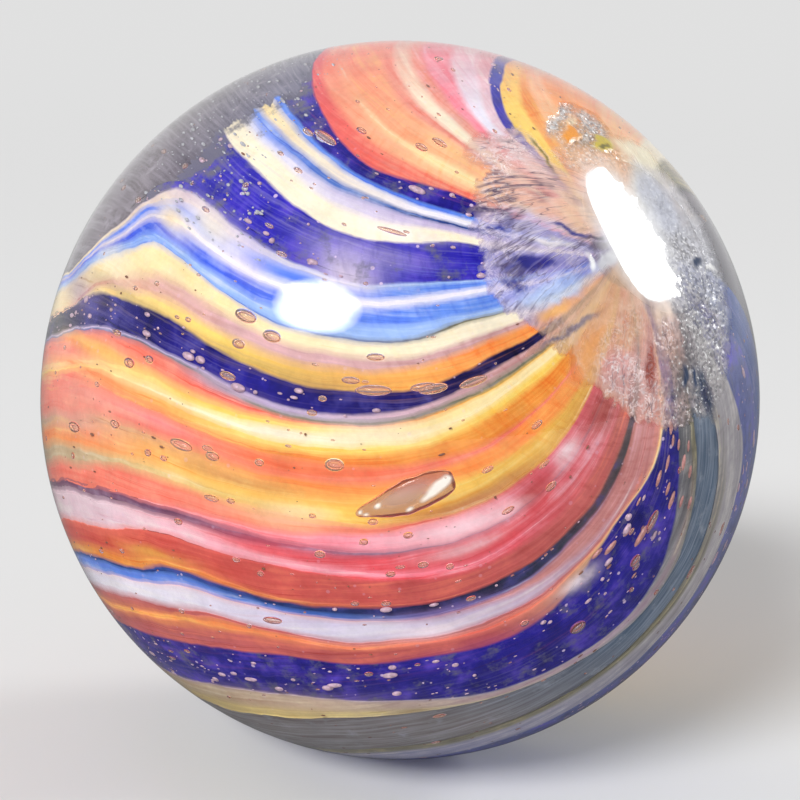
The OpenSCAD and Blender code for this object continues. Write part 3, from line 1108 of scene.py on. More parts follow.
# the skin turn by turn round the flat's middle: degrees, how far it reaches in degrees, its
# colour, and from 0 to 1 its cover, frost, curls and wrinkles
collar = [
    (0, 19, "cloud", 0.75, 0.25, 0, 0),
    (35, 19, "warmCloud", 0.70, 0.1, 0, 0),
    (62, 17, "ivory", 0.70, 0.2, 0, 0),
    (75, 16, "sand", 0.50, 0.5, 0.3, 0),
    (105, 16, "sand", 0.45, 0.4, 0.3, 0.2),
    (120, 25, "rosy", 0.45, 0, 0.9, 0.6),
    (130, 26, "rosy", 0.55, 0, 0.9, 0.8),
    (145, 27, "dusty", 0.60, 0, 0.7, 1),
    (156, 29, "dusty", 0.60, 0, 0.7, 1),
    (165, 30, "lavender", 0.55, 0, 0.7, 1),
    (183, 31, "lavender", 0.50, 0, 0.5, 0.9),
    (193, 29.5, "lavender", 0.45, 0, 0.4, 0.6),
    (200, 28.5, "wedge", 0.50, 0, 0.3, 0.5),
    (213, 27, "sand", 0.50, 0, 0.4, 0.4),
    (226, 28, "wedge", 0.50, 0, 0.7, 0.3),
    (238, 29, "dusty", 0.55, 0.1, 1, 0.3),
    (252, 28.5, "dusty", 0.55, 0.4, 1, 0.3),
    (264, 28, "ash", 0.60, 0.9, 0.5, 0.4),
    (278, 27, "silver", 0.65, 1, 0.3, 0.4),
    (300, 23, "silver", 0.70, 1, 0.2, 0.2),
    (325, 19.5, "blueGrey", 0.75, 0.8, 0, 0),
    (345, 19, "cloud", 0.80, 0.4, 0, 0),
    (360, 19, "cloud", 0.75, 0.25, 0, 0),
]

# patches on it, in mm to the right and up on the flat: middle, half length, half width, turn
# in degrees, colour, cover, frost, curls, wrinkles
patches = [
    (-0.9, 3.3, 1.05, 1.45, 0, "clear", 0, 0, 0, 0.1),
    (-1.62, 2.6, 0.12, 0.75, -6, "clear", 0, 0, 0, 0),
    (-1.86, 2.5, 0.6, 0.05, 82, "olive", 0.7, 0, 0, 0.2),
    (-0.7, 2.25, 0.85, 0.4, 0, "sand", 0.55, 0.6, 0.5, 0),
    (-0.15, 2.9, 0.95, 0.5, -10, "ash", 0.35, 0.9, 0.3, 0),
    (0.75, 3.3, 0.45, 0.5, -50, "silver", 0.80, 1, 0, 0),
    (0.1, 3.7, 0.65, 0.14, 20, "silver", 0.80, 1, 0, 0),
    (-0.75, 3.35, 0.55, 0.11, 32, "silver", 0.75, 1, 0, 0),
    (-0.2, 3.3, 0.5, 0.09, 28, "ivory", 0.75, 0.6, 0, 0),
    (-0.5, 3.02, 0.46, 0.17, 28, "pocket", 0.85, 0, 0, 0),
    (-0.35, 2.85, 0.3, 0.07, 25, "apricot", 0.8, 0.3, 0, 0),
    (-0.95, 2.6, 0.12, 0.5, -12, "sand", 0.6, 0.6, 0.4, 0),
    (0.35, 2.55, 0.42, 0.17, 15, "lime", 0.90, 0, 0, 0),
    (0.48, 2.72, 0.14, 0.2, 10, "lime", 0.85, 0, 0, 0),
    (0.3, 2.5, 0.2, 0.05, 15, "olive", 0.85, 0, 0, 0),
    (0.0, 2.85, 0.35, 0.1, 30, "silver", 0.80, 1, 0, 0),
    (1.6, 2.3, 0.8, 0.4, -15, "ivory", 0.85, 0, 0, 0),
    (-2.9, 2.9, 0.6, 0.5, -40, "rosy", 0.60, 0, 1, 0.5),
    (-2.5, 1.6, 0.9, 0.75, -55, "dusty", 0.75, 0, 0, 0.9),
    (-2.0, 0.85, 0.6, 0.6, -40, "wedge", 0.88, 0, 0, 0.35),
    (-2.5, 0.5, 0.6, 0.07, -33, "night", 0.85, 0, 0, 0.3),
    (-1.9, 0.2, 0.4, 0.05, -3, "dusk", 0.8, 0, 0, 0),
    (-3.9, 1.55, 0.5, 0.06, -20, "dusk", 0.75, 0, 0.3, 0.3),
    (-4.2, 1.1, 0.4, 0.07, -30, "night", 0.70, 0, 0.3, 0.4),
    (-3.4, 1.0, 0.5, 0.3, -30, "lavender", 0.75, 0, 0, 1),
    (-3.8, 0.05, 0.65, 0.16, -15, "night", 0.52, 0, 0, 0.8),
    (-4.4, -0.25, 0.3, 0.1, -50, "night", 0.65, 0, 0.3, 0.5),
    (-3.0, 0.35, 0.5, 0.12, -25, "warmCloud", 0.65, 0, 0, 0.8),
    (-3.5, -0.72, 0.85, 0.26, 0, "ice", 0.80, 0, 0, 0.5),
    (-1.9, -0.05, 0.45, 0.13, 5, "grey", 0.75, 0, 0, 0.2),
    (-1.9, -0.42, 0.5, 0.16, 12, "cloud", 0.90, 0, 0, 0),
    (-2.4, -0.35, 0.08, 0.2, 0, "white", 0.95, 0, 0, 0),
    (-2.3, -1.3, 1.2, 0.55, 15, "sand", 0.78, 0, 0.1, 0.1),
    (-3.75, -1.15, 0.5, 0.16, 5, "apricot", 0.85, 0, 0, 0),
    (-3.6, -1.68, 0.85, 0.08, 10, "grey", 0.75, 0, 0.2, 0),
    (-2.9, -2.35, 0.75, 0.45, 20, "apricot", 0.75, 0, 0.1, 0),
    (-2.2, -2.1, 0.8, 0.4, 30, "sand", 0.75, 0.2, 0.5, 0),
    (-2.3, -3.1, 0.9, 0.45, -35, "rosy", 0.62, 0.2, 1, 0.2),
    (-1.62, -3.0, 0.5, 0.16, 80, "rust", 0.38, 0.2, 0.5, 0.2),
    (-0.75, -1.95, 0.38, 0.3, 25, "wedge", 0.92, 0, 0, 0),
    (-0.85, -2.5, 0.5, 0.35, 40, "dusty", 0.70, 0.3, 1, 0),
    (-0.5, -3.45, 0.32, 0.12, 80, "deep", 0.85, 0, 0, 0.3),
    (-0.1, -3.5, 0.25, 0.10, 95, "deep", 0.85, 0, 0, 0.3),
    (0.3, -3.9, 0.6, 0.25, -75, "deep", 0.45, 0.5, 0, 0.5),
    (1.0, 0.6, 1.25, 0.75, 85, "blueGrey", 0.92, 0.25, 0, 0),
    (1.1, -0.6, 0.7, 0.6, 0, "cloud", 0.80, 0.8, 0, 0),
    (1.5, -0.9, 0.22, 0.11, 10, "deep", 0.85, 0, 0, 0),
    # painted glint in white
    (2.0, -1.12, 0.35, 0.07, 5, "white", 0.95, 0, 0, 0),
    # painted highlight in white, over the polished band of the flat
    (-0.52, 0.12, 1.15, 1.9, 0, "white", 1, 0, 0, 0),
    (-0.7, -1.42, 0.35, 0.14, 5, "rosy", 0.9, 0, 0, 0),
]

veilColours = {name: screenColour(*veil)[:3] for name, veil in veils.items()}
bare = [1, 1, 1, 0, 0, 0, 0]  # a look: red, green, blue, cover, frost, curls, wrinkles
# smooth noise on the skin, each as size: height
rimByTurn = {7: 1.1, 55: 0.7}  # how far its rim wanders, in degrees, by the turn
rimByPlace = {2.5: 0.9, 6: 0.8}  # and by the place
blendByPlace = {1.3: 0.7, 3.7: 0.35}  # how its colours run into each other
shiftByPlace = {2.1: 0.13, 6.3: 0.06}  # how the patches' outlines wander, in mm
groundByPlace = {6: 1, 15: 0.7}
elsewhere = Vector((9, 0, 0))


def noises(spot, bySize, offset=Vector()):
    return sum(height * noise.noise(spot * size + offset) for size, height in bySize.items())


def skinLook(turn, polar, spot):
    degrees = math.degrees(turn) % 360
    stop = 1
    while collar[stop][0] < degrees:
        stop += 1
    before, after = collar[stop - 1], collar[stop]
    share = (degrees - before[0]) / (after[0] - before[0])
    around = Vector((math.cos(turn), math.sin(turn), 0))
    reach = between(before[1], after[1], share) + noises(around, rimByTurn) + noises(spot, rimByPlace)
    share = clamped(share + noises(spot, blendByPlace))
    first, second = [(*veilColours[row[2]], *row[3:]) for row in (before, after)]
    look = [between(a, b, share) for a, b in zip(first, second)]
    inside = reach - polar
    edge = clamped(inside / (0.7 + 3.5 * max(0, around.x)))
    nearRim = min(1, max(0.1, 1 - (inside - 3) / 5))
    offFlat = clamped((polar - 9) / 3)
    look[3:] = [look[3] * edge, look[4] * edge, look[5] * edge * nearRim, look[6] * edge * offFlat]
    shifted = spot.x + noises(spot, shiftByPlace), spot.y + noises(spot, shiftByPlace, elsewhere)
    for right, up, long, wide, tilt, name, *levels in patches:
        x, y = shifted[0] - right, shifted[1] - up
        if abs(x) + abs(y) > 2.1 * (long + wide):
            continue
        c, s = math.cos(math.radians(tilt)), math.sin(math.radians(tilt))
        away = math.hypot((x * c + y * s) / long, (y * c - x * s) / wide)
        share = clamped((1.45 - away) / 0.9)
        share = share * share * (3 - 2 * share)
        if share > 0:
            look = [between(a, b, share) for a, b in zip(look, (*veilColours[name], *levels))]
    return look


def facets(spot, size):  # flat chips, each tilted its own way, from 0 to 1
    centre = noise.voronoi(spot / size)[1][0]
    tilt = noise.noise_vector(centre * 7.3) * 1.6
    return clamped(0.5 + (spot / size - centre).dot(tilt))


def clearBallPoint(turn, polar, ground):  # a point about the flat's own axes, and its look
    around = Vector((math.cos(turn), math.sin(turn), 0))
    tilt = math.radians(polar)
    if ground:
        reach = math.tan(tilt) * flatDrop
        spot = around * (reach / mm)
        dip = skin["groundDepth"] * (1 + noises(spot, groundByPlace))
        return around * reach + Vector((0, 0, flatDrop - dip)), skinLook(turn, polar, spot)
    unit = around * math.sin(tilt) + Vector((0, 0, math.cos(tilt)))
    spot = unit * (ballRadius / mm)
    dip = skin["waviness"] * (0.5 + 0.5 * noise.noise(spot * 0.35))
    if polar >= skin["skinEnd"] - 0.5:
        return unit * (ballRadius - dip), bare
    look = skinLook(turn, polar, spot)
    twist = around * 9 + Vector((around.y, -around.x, 0)) * polar * skin["twist"]
    twist.z = polar * 0.05
    wrinkle = 1.2 * abs(noise.noise(twist * 1.1)) + 0.35 * abs(noise.noise(twist * 2.9))
    curls = abs(noise.noise(spot * 3.0)) + 0.5 * abs(noise.noise(spot * 6.0))
    chips = facets(spot, 0.16) + clamped(spot.y - 2.2) * facets(spot, 0.3)
    dip += skin["wrinkleHeight"] * wrinkle * look[6] + skin["curlHeight"] * curls * look[5]
    dip += skin["frostHeight"] * chips * look[4]
    return unit * (ballRadius - dip), look


def makeClearBall():
    segments, skinEnd = skin["segments"], skin["skinEnd"]
    flatRings, skinRings, bodyRings = skin["flatRings"], skin["skinRings"], skin["bodyRings"]
    flatEdge = math.degrees(math.acos(flatDrop / ballRadius))
    start = flatEdge + 0.15
    rings = [(flatEdge * (i + 1) / flatRings, True) for i in range(flatRings)]
    rings += [(start + (skinEnd - start) * i / skinRings, False) for i in range(skinRings + 1)]
    rings += [(skinEnd + (180 - skinEnd) * (i + 1) / (bodyRings + 1), False) for i in range(bodyRings)]
    toBall = Matrix((flatRight, flatUp, flatNormal)).transposed()
    points, looks = [toBall @ Vector((0, 0, flatDrop))], [[1, 1, 1, 1, 0, 0, 0]]
    for polar, isGround in rings:
        for s in range(segments):
            point, look = clearBallPoint(2 * math.pi * s / segments, polar, isGround)
            points.append(toBall @ point)
            looks.append(look)
    points.append(toBall @ Vector((0, 0, -ballRadius + skin["waviness"] * 0.5)))
    looks.append(bare)
    last = len(points) - 1
    faces = []
    for s in range(segments):
        t = (s + 1) % segments
        faces.append((0, 1 + s, 1 + t))
        for a in range(1, last - segments, segments):
            faces.append((a + s, a + segments + s, a + segments + t, a + t))
        faces.append((last - segments + s, last, last - segments + t))
    mesh = newMesh("clearBall", points, faces)
    storeColours(mesh, "veil", [value for look in looks for value in look[:4]])
    storeColours(mesh, "grit", [value for look in looks for value in (*look[4:], 1)])
    mesh.shade_smooth()
    mesh.materials.append(clearMaterial())
    finishPiece(newObject("clearBall", mesh), "clear_glass", "clear_glass")


def summed(value, *added):  # a value and what each pair of wires adds to it
    for amount, by in added:
        value = amount * by + value
    return value


def lines(value, width):  # 1 where a noise crosses its middle, which draws thin lines
    return abs(value - 0.5).mapped(width, 0.0)


# marks drawn out from the flat's middle: size, length, seed and detail of their noise
skinMarks = {
    "wrinkles": (9.0, 0.045, 0.0, 3.0),
    "threads": (14.0, 0.05, 5.0, 3.0),
    "cracks": (11.0, 0.07, 11.0, 3.0),
    "combs": (24.0, 0.06, 41.0, 2.0),
    "openings": (6.0, 0.11, 21.0, 3.0),
}
lineWidths = {"threads": 0.05, "cracks": 0.016, "combs": 0.11, "curls": 0.06}
skinGrain = {"curls": 3200.0, "clumps": 1000.0, "chips": 14000.0, "sparkles": 21000.0, "ground": 20000.0}
milkiness = {"threads": 0.10, "cracks": 0.25, "combs": 0.28, "curls": 0.45, "sparkle": 0.35}
markTones = {
    "openings": (0.45, (0.34, 0.30, 0.50)),
    "threads": (0.3, (0.97, 0.92, 0.93)),
    "curls": (0.6, (0.95, 0.88, 0.90)),
    "cracks": (0.8, (0.28, 0.20, 0.32)),
    "combs": (0.8, (0.24, 0.18, 0.33)),
    "shadow": (1.0, (0.34, 0.35, 0.38)),
    "sparkle": (1.0, pureWhite),
}
# the polished band of the ground flat, with the lamp's highlight painted on it in milky white, in mm on the
# flat: it leans right towards its top
highlightStrip = {
    "middle": (-0.50, 0.12),
    "halfHeight": 1.80,
    "lean": 0.42,
    "squareness": 3.2,
    "edge": (1.06, 0.90),
    "frayed": (0.2, 5.0),  # its left and its right edge
    "lastTilt": (15.5, 14.5),  # degrees from the flat's middle
}


def clearMaterial():
    material, tree = newMaterial("clearGlass")
    spot = tree.place()

    def onAxis(axis):  # millimetres along one of the flat's own axes
        return tree.vectorMaths("DOT_PRODUCT", spot, axis / mm)["Value"]

    right, up, out = onAxis(flatRight), onAxis(flatUp), onAxis(flatNormal)
    span = tree.maths("SQRT", right**2.0 + up**2.0)
    tilt = tree.maths("DEGREES", tree.maths("ARCTAN2", span, out))
    cosine, sine = right / span, up / span

    def radial(name):  # bent as the wrinkles are
        scale, along, seed, detail = skinMarks[name]
        bend = skin["twist"] * scale / 9
        x = sine * tilt * bend + cosine * scale
        y = cosine * tilt * -bend + (sine * scale + seed)
        return tree.vector(x, y, tilt * along).noise(1.0, detail)

    def cells(name):
        place = {"Vector": spot, "Scale": skinGrain[name]}
        return tree.add("ShaderNodeTexVoronoi", place)["Color"].parts()

    veil = tree.add("ShaderNodeAttribute", attribute_name="veil")
    frost, curly, wrinkly = tree.attribute("grit", "Color").parts()
    cover = veil["Alpha"]
    onSkin = cover.mapped(0.0, 0.1)
    wrinkles = radial("wrinkles").mapped(0.35, 0.65)
    curled = {"Vector": spot, "Scale": skinGrain["curls"], "Detail": 3.0, "Distortion": 1.5}
    chance, dots = cells("chips"), cells("sparkles")
    clumps = spot.noise(skinGrain["clumps"]).mapped(0.46, 0.58)
    marks = {
        "threads": lines(radial("threads"), lineWidths["threads"]) * wrinkly,
        "cracks": lines(radial("cracks"), lineWidths["cracks"]) * wrinkly.atLeast(curly * 0.8),
        "combs": lines(radial("combs"), lineWidths["combs"]) * clumps * wrinkly,
        "curls": lines(tree.add("ShaderNodeTexNoise", curled), lineWidths["curls"]) * curly,
        "openings": radial("openings").mapped(0.54, 0.66) * wrinkly,
        # painted glints: white dots on the frost
        "sparkle": dots[0].mapped(0.90, 0.97) * frost.atLeast(curly * 0.4),
        "shadow": frost * chance[2].mapped(0.45, 0.15, 0.0, 0.6),
    }

    mottle = spot.noise(2600.0, 4.0, 0.7).mapped(0.3, 0.7, 0.85, 1.12)
    milky = cover * mottle * (1.0 - marks["openings"] * 0.55)
    milky = summed(milky, (frost * onSkin, chance[0].mapped(0.0, 1.0, -0.35, 0.25)))
    milky = summed(milky, *[(marks[name], share) for name, share in milkiness.items()])
    patchy = spot.noise(1300.0, 4.0, 0.7).mapped(0.3, 0.7, 0.84, 1.06)
    tint = tree.vectorMaths("SCALE", veil["Color"], scale=patchy)
    for name, (share, tone) in markTones.items():
        tint = tree.mixed(marks[name] * share, tint, tone)
    tint = tree.mixed(onSkin, (0.97, 0.98, 0.98, 1.0), tint)

    # the polished part of the ground flat is smoother and carries a painted highlight in milky white, with a
    # ragged right edge
    tatter = spot.noise(2600.0, 5.0, 0.75) - 0.5
    fray = tatter * right.mapped(-0.4, 0.3, *highlightStrip["frayed"])
    lean = up.mapped(-0.4, 1.9, 0.0, highlightStrip["lean"]) * right.mapped(-0.7, -0.1)
    x = abs(right - highlightStrip["middle"][0] + lean) ** highlightStrip["squareness"]
    y = (abs(up - highlightStrip["middle"][1]) / highlightStrip["halfHeight"]) ** highlightStrip["squareness"]
    polishAndHighlight = (x + y + fray).mapped(*highlightStrip["edge"]) * tilt.mapped(*highlightStrip["lastTilt"])
    pits = chance[0].mapped(0.975, 0.98) * tatter.mapped(0.02, 0.08)
    polishAndHighlight = polishAndHighlight * (1.0 - pits)
    milky = milky.atLeast(polishAndHighlight).atMost(1.0)
    tint = tree.mixed(polishAndHighlight * 0.8, tint, pureWhite)

    dull = 1.0 - polishAndHighlight
    ground = tree.maths("GREATER_THAN", out, flatDrop / mm - 0.012)
    rough = onSkin * (wrinkles * 0.15 + 0.18) + 0.012
    rough = summed(rough, (ground * dull, 0.45))
    grain = spot.noise(skinGrain["ground"], 2.0, 0.6) * onSkin
    chips = chance[2] * frost
    height = summed(wrinkles * wrinkly, (marks["threads"], 1.0), (marks["curls"], 0.6))
    height = summed(height, (chips, 0.9), (grain, 0.25))
    bump = tree.add("ShaderNodeBump", {"Strength": 0.7, "Distance": 0.012 * mm, "Height": height * dull})
    tree.glassSurface(
        {
            "Base Color": tint,
            "Roughness": rough,
            "IOR": glassBend,
            "Transmission Weight": 1.0 - milky,
            "Normal": bump,
        }
    )
    return material


makeClearBall()
print("clear ball made")

# bits in the glass: seeds (small bubbles), flecks and blobs, all drawn out along the strands

# the larger ones: polar angle, longitude, radius in mm, how drawn out
bigSeeds = [
    (57, 50, 0.15, 2.0), (54, 52, 0.14, 1.7), (59, 56, 0.11, 1.6), (73, 80, 0.14, 2.4),
    (84, 81.5, 0.11, 1.6), (54, 76.5, 0.16, 1.5), (69, 80, 0.12, 1.6), (56, 135.5, 0.17, 1.3),
    (64, 96.5, 0.10, 1.4), (58, 93.5, 0.08, 1.4), (74, 67, 0.09, 1.6), (78, 69.5, 0.12, 1.6),
    (95, 85, 0.14, 2.2), (63, 78.5, 0.09, 1.4), (39, 84, 0.07, 2.2), (30, 81.5, 0.08, 2.0),
    (53, 93, 0.08, 1.5), (55, 100.5, 0.09, 1.5), (53, 102.5, 0.08, 1.3), (59, 101.5, 0.08, 1.5),
    (63, 108.5, 0.08, 1.5), (66, 108, 0.07, 1.5), (42, 95.5, 0.07, 2.4), (34, 91.5, 0.06, 2.6),
    (55, 89, 0.08, 1.6), (39, 131.5, 0.12, 2.4), (45, 133.5, 0.13, 1.4), (46, 135, 0.09, 1.4),
    (52, 149, 0.07, 1.3), (47, 4.5, 0.12, 3.4), (50, 6, 0.08, 2.6), (45, -36, 0.12, 1.3),
    (57, 25, 0.08, 1.2), (31, -13.5, 0.10, 2.2), (33, -8.5, 0.10, 1.8), (63, 34.5, 0.06, 2.6),
    (38, 60, 0.10, 3.0), (80, 95.5, 0.08, 1.6), (70, 88, 0.07, 1.6), (61, 88, 0.06, 1.5),
    (44, 59.9, 0.13, 3.2), (37, 60.9, 0.12, 2.8), (32, 62, 0.10, 3.4), (35, 19.9, 0.06, 6.0),
    (86, 76, 0.07, 1.6), (77, 84, 0.07, 1.7), (66, 56, 0.06, 1.6), (71, 53, 0.06, 1.6),
]


# salmon blobs in the cobalt below the skin, in the same terms: bubbles on the cobalt, with the light they
# reflect painted on as a pale salmon colour
salmonBlobs = [
    (41.5, 131.8, 0.085, 3.4), (40.5, 133.4, 0.05, 3.0), (37, 137.5, 0.065, 3.4), (33, 129.5, 0.055, 3.8),
    (31, 131.8, 0.045, 4.2), (32, 139.3, 0.06, 3.2), (39, 146, 0.055, 3.0), (38, 142, 0.05, 3.2),
    (43, 124.8, 0.07, 3.0), (44, 122.6, 0.055, 3.2), (40.5, 126.6, 0.045, 3.0), (26, 131.6, 0.05, 3.6),
    (35, 134.5, 0.05, 3.4), (29, 136, 0.04, 3.6), (28, 133, 0.04, 3.6), (46, 128.5, 0.04, 2.0),
    (34, 143, 0.05, 3.2), (30, 141, 0.04, 3.6), (36, 125, 0.03, 4.0), (48, 138, 0.03, 3.0),
]

# pale crumbs near the frayed ends
paleCrumbs = [
    (57.5, 25.4, 0.07, 1.5), (58.4, 24.6, 0.05, 1.8), (56.8, 26.0, 0.05, 1.3), (57.6, 26.6, 0.04, 1.6),
    (60.5, 24.5, 0.03, 1.4), (61.3, 23.4, 0.03, 1.3), (62, 25.2, 0.03, 1.2), (60.2, 29, 0.03, 1.4),
    (56, 29.5, 0.04, 1.4), (54, 27.5, 0.03, 1.5), (58.6, 31, 0.03, 1.3), (63.5, 22.2, 0.025, 4.0),
    (65.2, 21.4, 0.02, 5.0), (66.5, 19.5, 0.02, 6.0), (68.5, 17, 0.02, 4.0), (63.5, 2, 0.03, 3.0),
    (52.5, 2.5, 0.04, 2.0), (56, 1, 0.04, 2.2), (59, 4, 0.03, 2.4), (48, 5, 0.05, 3.2), (70, 30, 0.025, 3.0),
]

finerFrom = 0.055 * mm  # radius from which a bit gets more faces


def bitTree():
    inputs = {
        "Geometry": "Geometry",
        "Bits Per Degree": 0.02,
        "Small": 0.0,
        "Large": 0.0,
        "Most Drawn": 2.6,
        "Bare Share": 0.44,
        "Inner Radius": 1.0,
        "Outer Radius": 1.0,
        "Random Seed": 1,
        "Glass": "Material",
        **swirlInputs,
    }
    tree, start = newShapeTree("bitsInGlass", inputs, "Geometry")

    def random(low, high, seed):
        inputs = {2: low, 3: high, "Seed": start["Random Seed"] + seed}
        return tree.add("FunctionNodeRandomValue", inputs, data_type="FLOAT")[1]

    def stored(geometry, label, value, kind="FLOAT"):
        inputs = {"Geometry": geometry, "Name": label, "Value": value}
        return tree.add("GeometryNodeStoreNamedAttribute", inputs, data_type=kind, domain="POINT")

    def named(label, kind="FLOAT"):
        return tree.add("GeometryNodeInputNamedAttribute", {"Name": label}, data_type=kind)

    def compare(operation, value, limit):
        return tree.add("FunctionNodeCompare", {0: value, 1: limit}, operation=operation)

    def deleted(geometry, selection, domain):
        inputs = {"Geometry": geometry, "Selection": selection}
        return tree.add("GeometryNodeDeleteGeometry", inputs, domain=domain)

    position = tree.add("GeometryNodeInputPosition")
    place = position.parts()
    sheet = deleted(start["Geometry"], compare("GREATER_THAN", place[2], 0.01), "FACE")
    density = tree.maths("SINE", tree.maths("RADIANS", place[1])) * start["Bits Per Degree"]
    scatter = {"Mesh": sheet, "Density": density, "Seed": start["Random Seed"]}
    scattered = tree.add("GeometryNodeDistributePointsOnFaces", scatter)
    bald = compare("LESS_THAN", position.noise(0.09, 2.0, 0.6), start["Bare Share"])
    scattered = deleted(scattered, bald, "POINT")
    rarity = random(0.0, 1.0, 1) ** 5.0
    size = rarity * (start["Large"] - start["Small"]) + start["Small"]
    for label, value in (
        ("size", size),
        ("drawn", random(1.0, start["Most Drawn"], 2)),
        ("depth", random(0.0, 1.0, 3)),
    ):
        scattered = stored(scattered, label, value)
    byHand = {"Mesh": start["Geometry"], "Selection": compare("GREATER_THAN", named("size"), 0.0)}
    placed = tree.add("GeometryNodeMeshToPoints", byHand)
    joined = tree.add("GeometryNodeJoinGeometry", {0: [scattered, placed]})
    room = start["Outer Radius"] - start["Inner Radius"]
    reach = named("depth") * room + start["Inner Radius"]
    ahead = tree.vectorMaths("ADD", position, (0.0, 1.0, 0.0))
    here, there = wrapped(tree, start, position, reach), wrapped(tree, start, ahead, reach)
    flow = {"Primary Axis": tree.vectorMaths("SUBTRACT", there, here), "Secondary Axis": here}
    aim = tree.add("FunctionNodeAxesToRotation", flow, primary_axis="X", secondary_axis="Z")
    points = stored(joined, "aim", aim, "QUATERNION")
    points = tree.add("GeometryNodeSetPosition", {"Geometry": points, "Position": here})
    shape = tree.vector(named("size") * named("drawn"), named("size"), named("size"))
    isBig = compare("GREATER_THAN", named("size"), finerFrom)
    isSmall = tree.add("FunctionNodeBooleanMath", {0: isBig}, operation="NOT")
    balls = []
    for chosen, detail in ((isBig, 3), (isSmall, 2)):
        inputs = {
            "Points": points,
            "Selection": chosen,
            "Instance": tree.add("GeometryNodeMeshIcoSphere", {"Radius": 1.0, "Subdivisions": detail}),
            "Rotation": named("aim", "QUATERNION"),
            "Scale": shape,
        }
        balls.append(tree.add("GeometryNodeInstanceOnPoints", inputs))
    both = tree.add("GeometryNodeJoinGeometry", {0: balls})
    return closeShapeTree(tree, both, start["Glass"])


bitsInGlass = bitTree()
sheetGrid = (12, 30)  # columns and rows


def bitMesh(name, byHand, sheet=None):  # a chart mesh of single points, with a sheet to scatter more on
    points, faces = [(bit[1], bit[0], 0) for bit in byHand], []
    if sheet:
        columns, rows = sheetGrid
        left, right, top, bottom = sheet
        faces = list(gridFaces(len(points), columns, rows))
        for c in range(columns + 1):
            for r in range(rows + 1):
                points.append((left + (right - left) * c / columns, top + (bottom - top) * r / rows, 0))
    mesh = newMesh(name, points, faces)
    rest = len(points) - len(byHand)
    storeValues(mesh, "size", [bit[2] * mm for bit in byHand] + [0] * rest)
    storeValues(mesh, "drawn", [bit[3] for bit in byHand] + [1] * rest)
    storeValues(mesh, "depth", [0.5] * len(points))
    return mesh


airLook = {
    "steep": (0.78, 0.35),  # how far a wall faces outwards, from where its line starts to where it is full
    "darkest": 0.85,
    "edgeTone": (0.50, 0.24, 0.18),
    "shineTone": (1.0, 0.97, 0.93),
}


# painted reflection: the dark brown line on a bubble's steep sides stands for the dark ring that they mirror
def airMaterial(name, milk, milkColour):  # clear air; a bubble's steep sides show as a dark brown line
    material, tree = newMaterial(name)
    shape = tree.add("ShaderNodeNewGeometry")
    outward = tree.vectorMaths("NORMALIZE", shape["Position"])
    facing = abs(tree.vectorMaths("DOT_PRODUCT", outward, shape["Normal"])["Value"])
    shine = tree.attribute("shine")
    edge = facing.mapped(*airLook["steep"], 0.0, airLook["darkest"]).atLeast(tree.attribute("rim") * 0.9)
    solid = edge.atLeast(shine).atLeast(tree.attribute("body").atLeast(milk))
    tint = tree.mixed(edge.mapped(milk, milk + 0.15), milkColour, airLook["edgeTone"])
    # painted highlights in white
    tint = tree.mixed(shine, tint, airLook["shineTone"])
    tree.glassSurface(
        {"Base Color": tint, "Roughness": 0.0, "IOR": 1 / glassBend, "Transmission Weight": 1.0 - solid}
    )
    return material


def paleMaterial(name, colour, roughness):
    material, tree = newMaterial(name)
    share = tree.place().noise(9000.0, 3.0, 0.6).mapped(0.3, 0.7)
    tint = tree.mixed(share, tuple(c * 0.72 for c in colour), colour)
    tree.solidSurface({"Base Color": tint, "Roughness": roughness})
    return material


def scatterBits(name, slot, mesh, glass, values):
    inputs = {
        "Bits Per Degree": 0.0,
        "Most Drawn": 2.6,
        "Bare Share": 0.44,
        "Random Seed": 4,
        "Glass": glass,
        **swirlValues,
        **values,
    }
    finishPiece(meshFromTree(name, mesh, bitsInGlass, inputs), slot)


# bits scattered in a layer: how many in a square degree, radius and how drawn out at most
seeds = {
    "Bits Per Degree": 0.030,
    "Small": 0.022 * mm,
    "Large": 0.10 * mm,
    "Inner Radius": strandOuter + 0.10 * mm,
    "Outer Radius": ballRadius - 0.10 * mm,
}
onStrands = {
    "Small": 0.015 * mm,
    "Large": 0.06 * mm,
    "Inner Radius": strandOuter - 0.01 * mm,
    "Outer Radius": strandOuter + 0.02 * mm,
}
flecks = {**onStrands, "Small": 0.016 * mm, "Large": 0.09 * mm}
grains = {**onStrands, "Bits Per Degree": 0.04, "Small": 0.008 * mm, "Large": 0.035 * mm, "Most Drawn": 3.5}
dust = {
    "Bits Per Degree": 0.35,
    "Small": 0.010 * mm,
    "Large": 0.045 * mm,
    "Most Drawn": 4.0,
    "Bare Share": 0.40,
    "Inner Radius": strandOuter - 0.1 * mm,
    "Outer Radius": strandOuter + 0.1 * mm,
    "Random Seed": 7,
}
allRound = (-180, 180, 26, 176)  # longitudes and polar angles
atTips = (-14, 40, 54, 78)


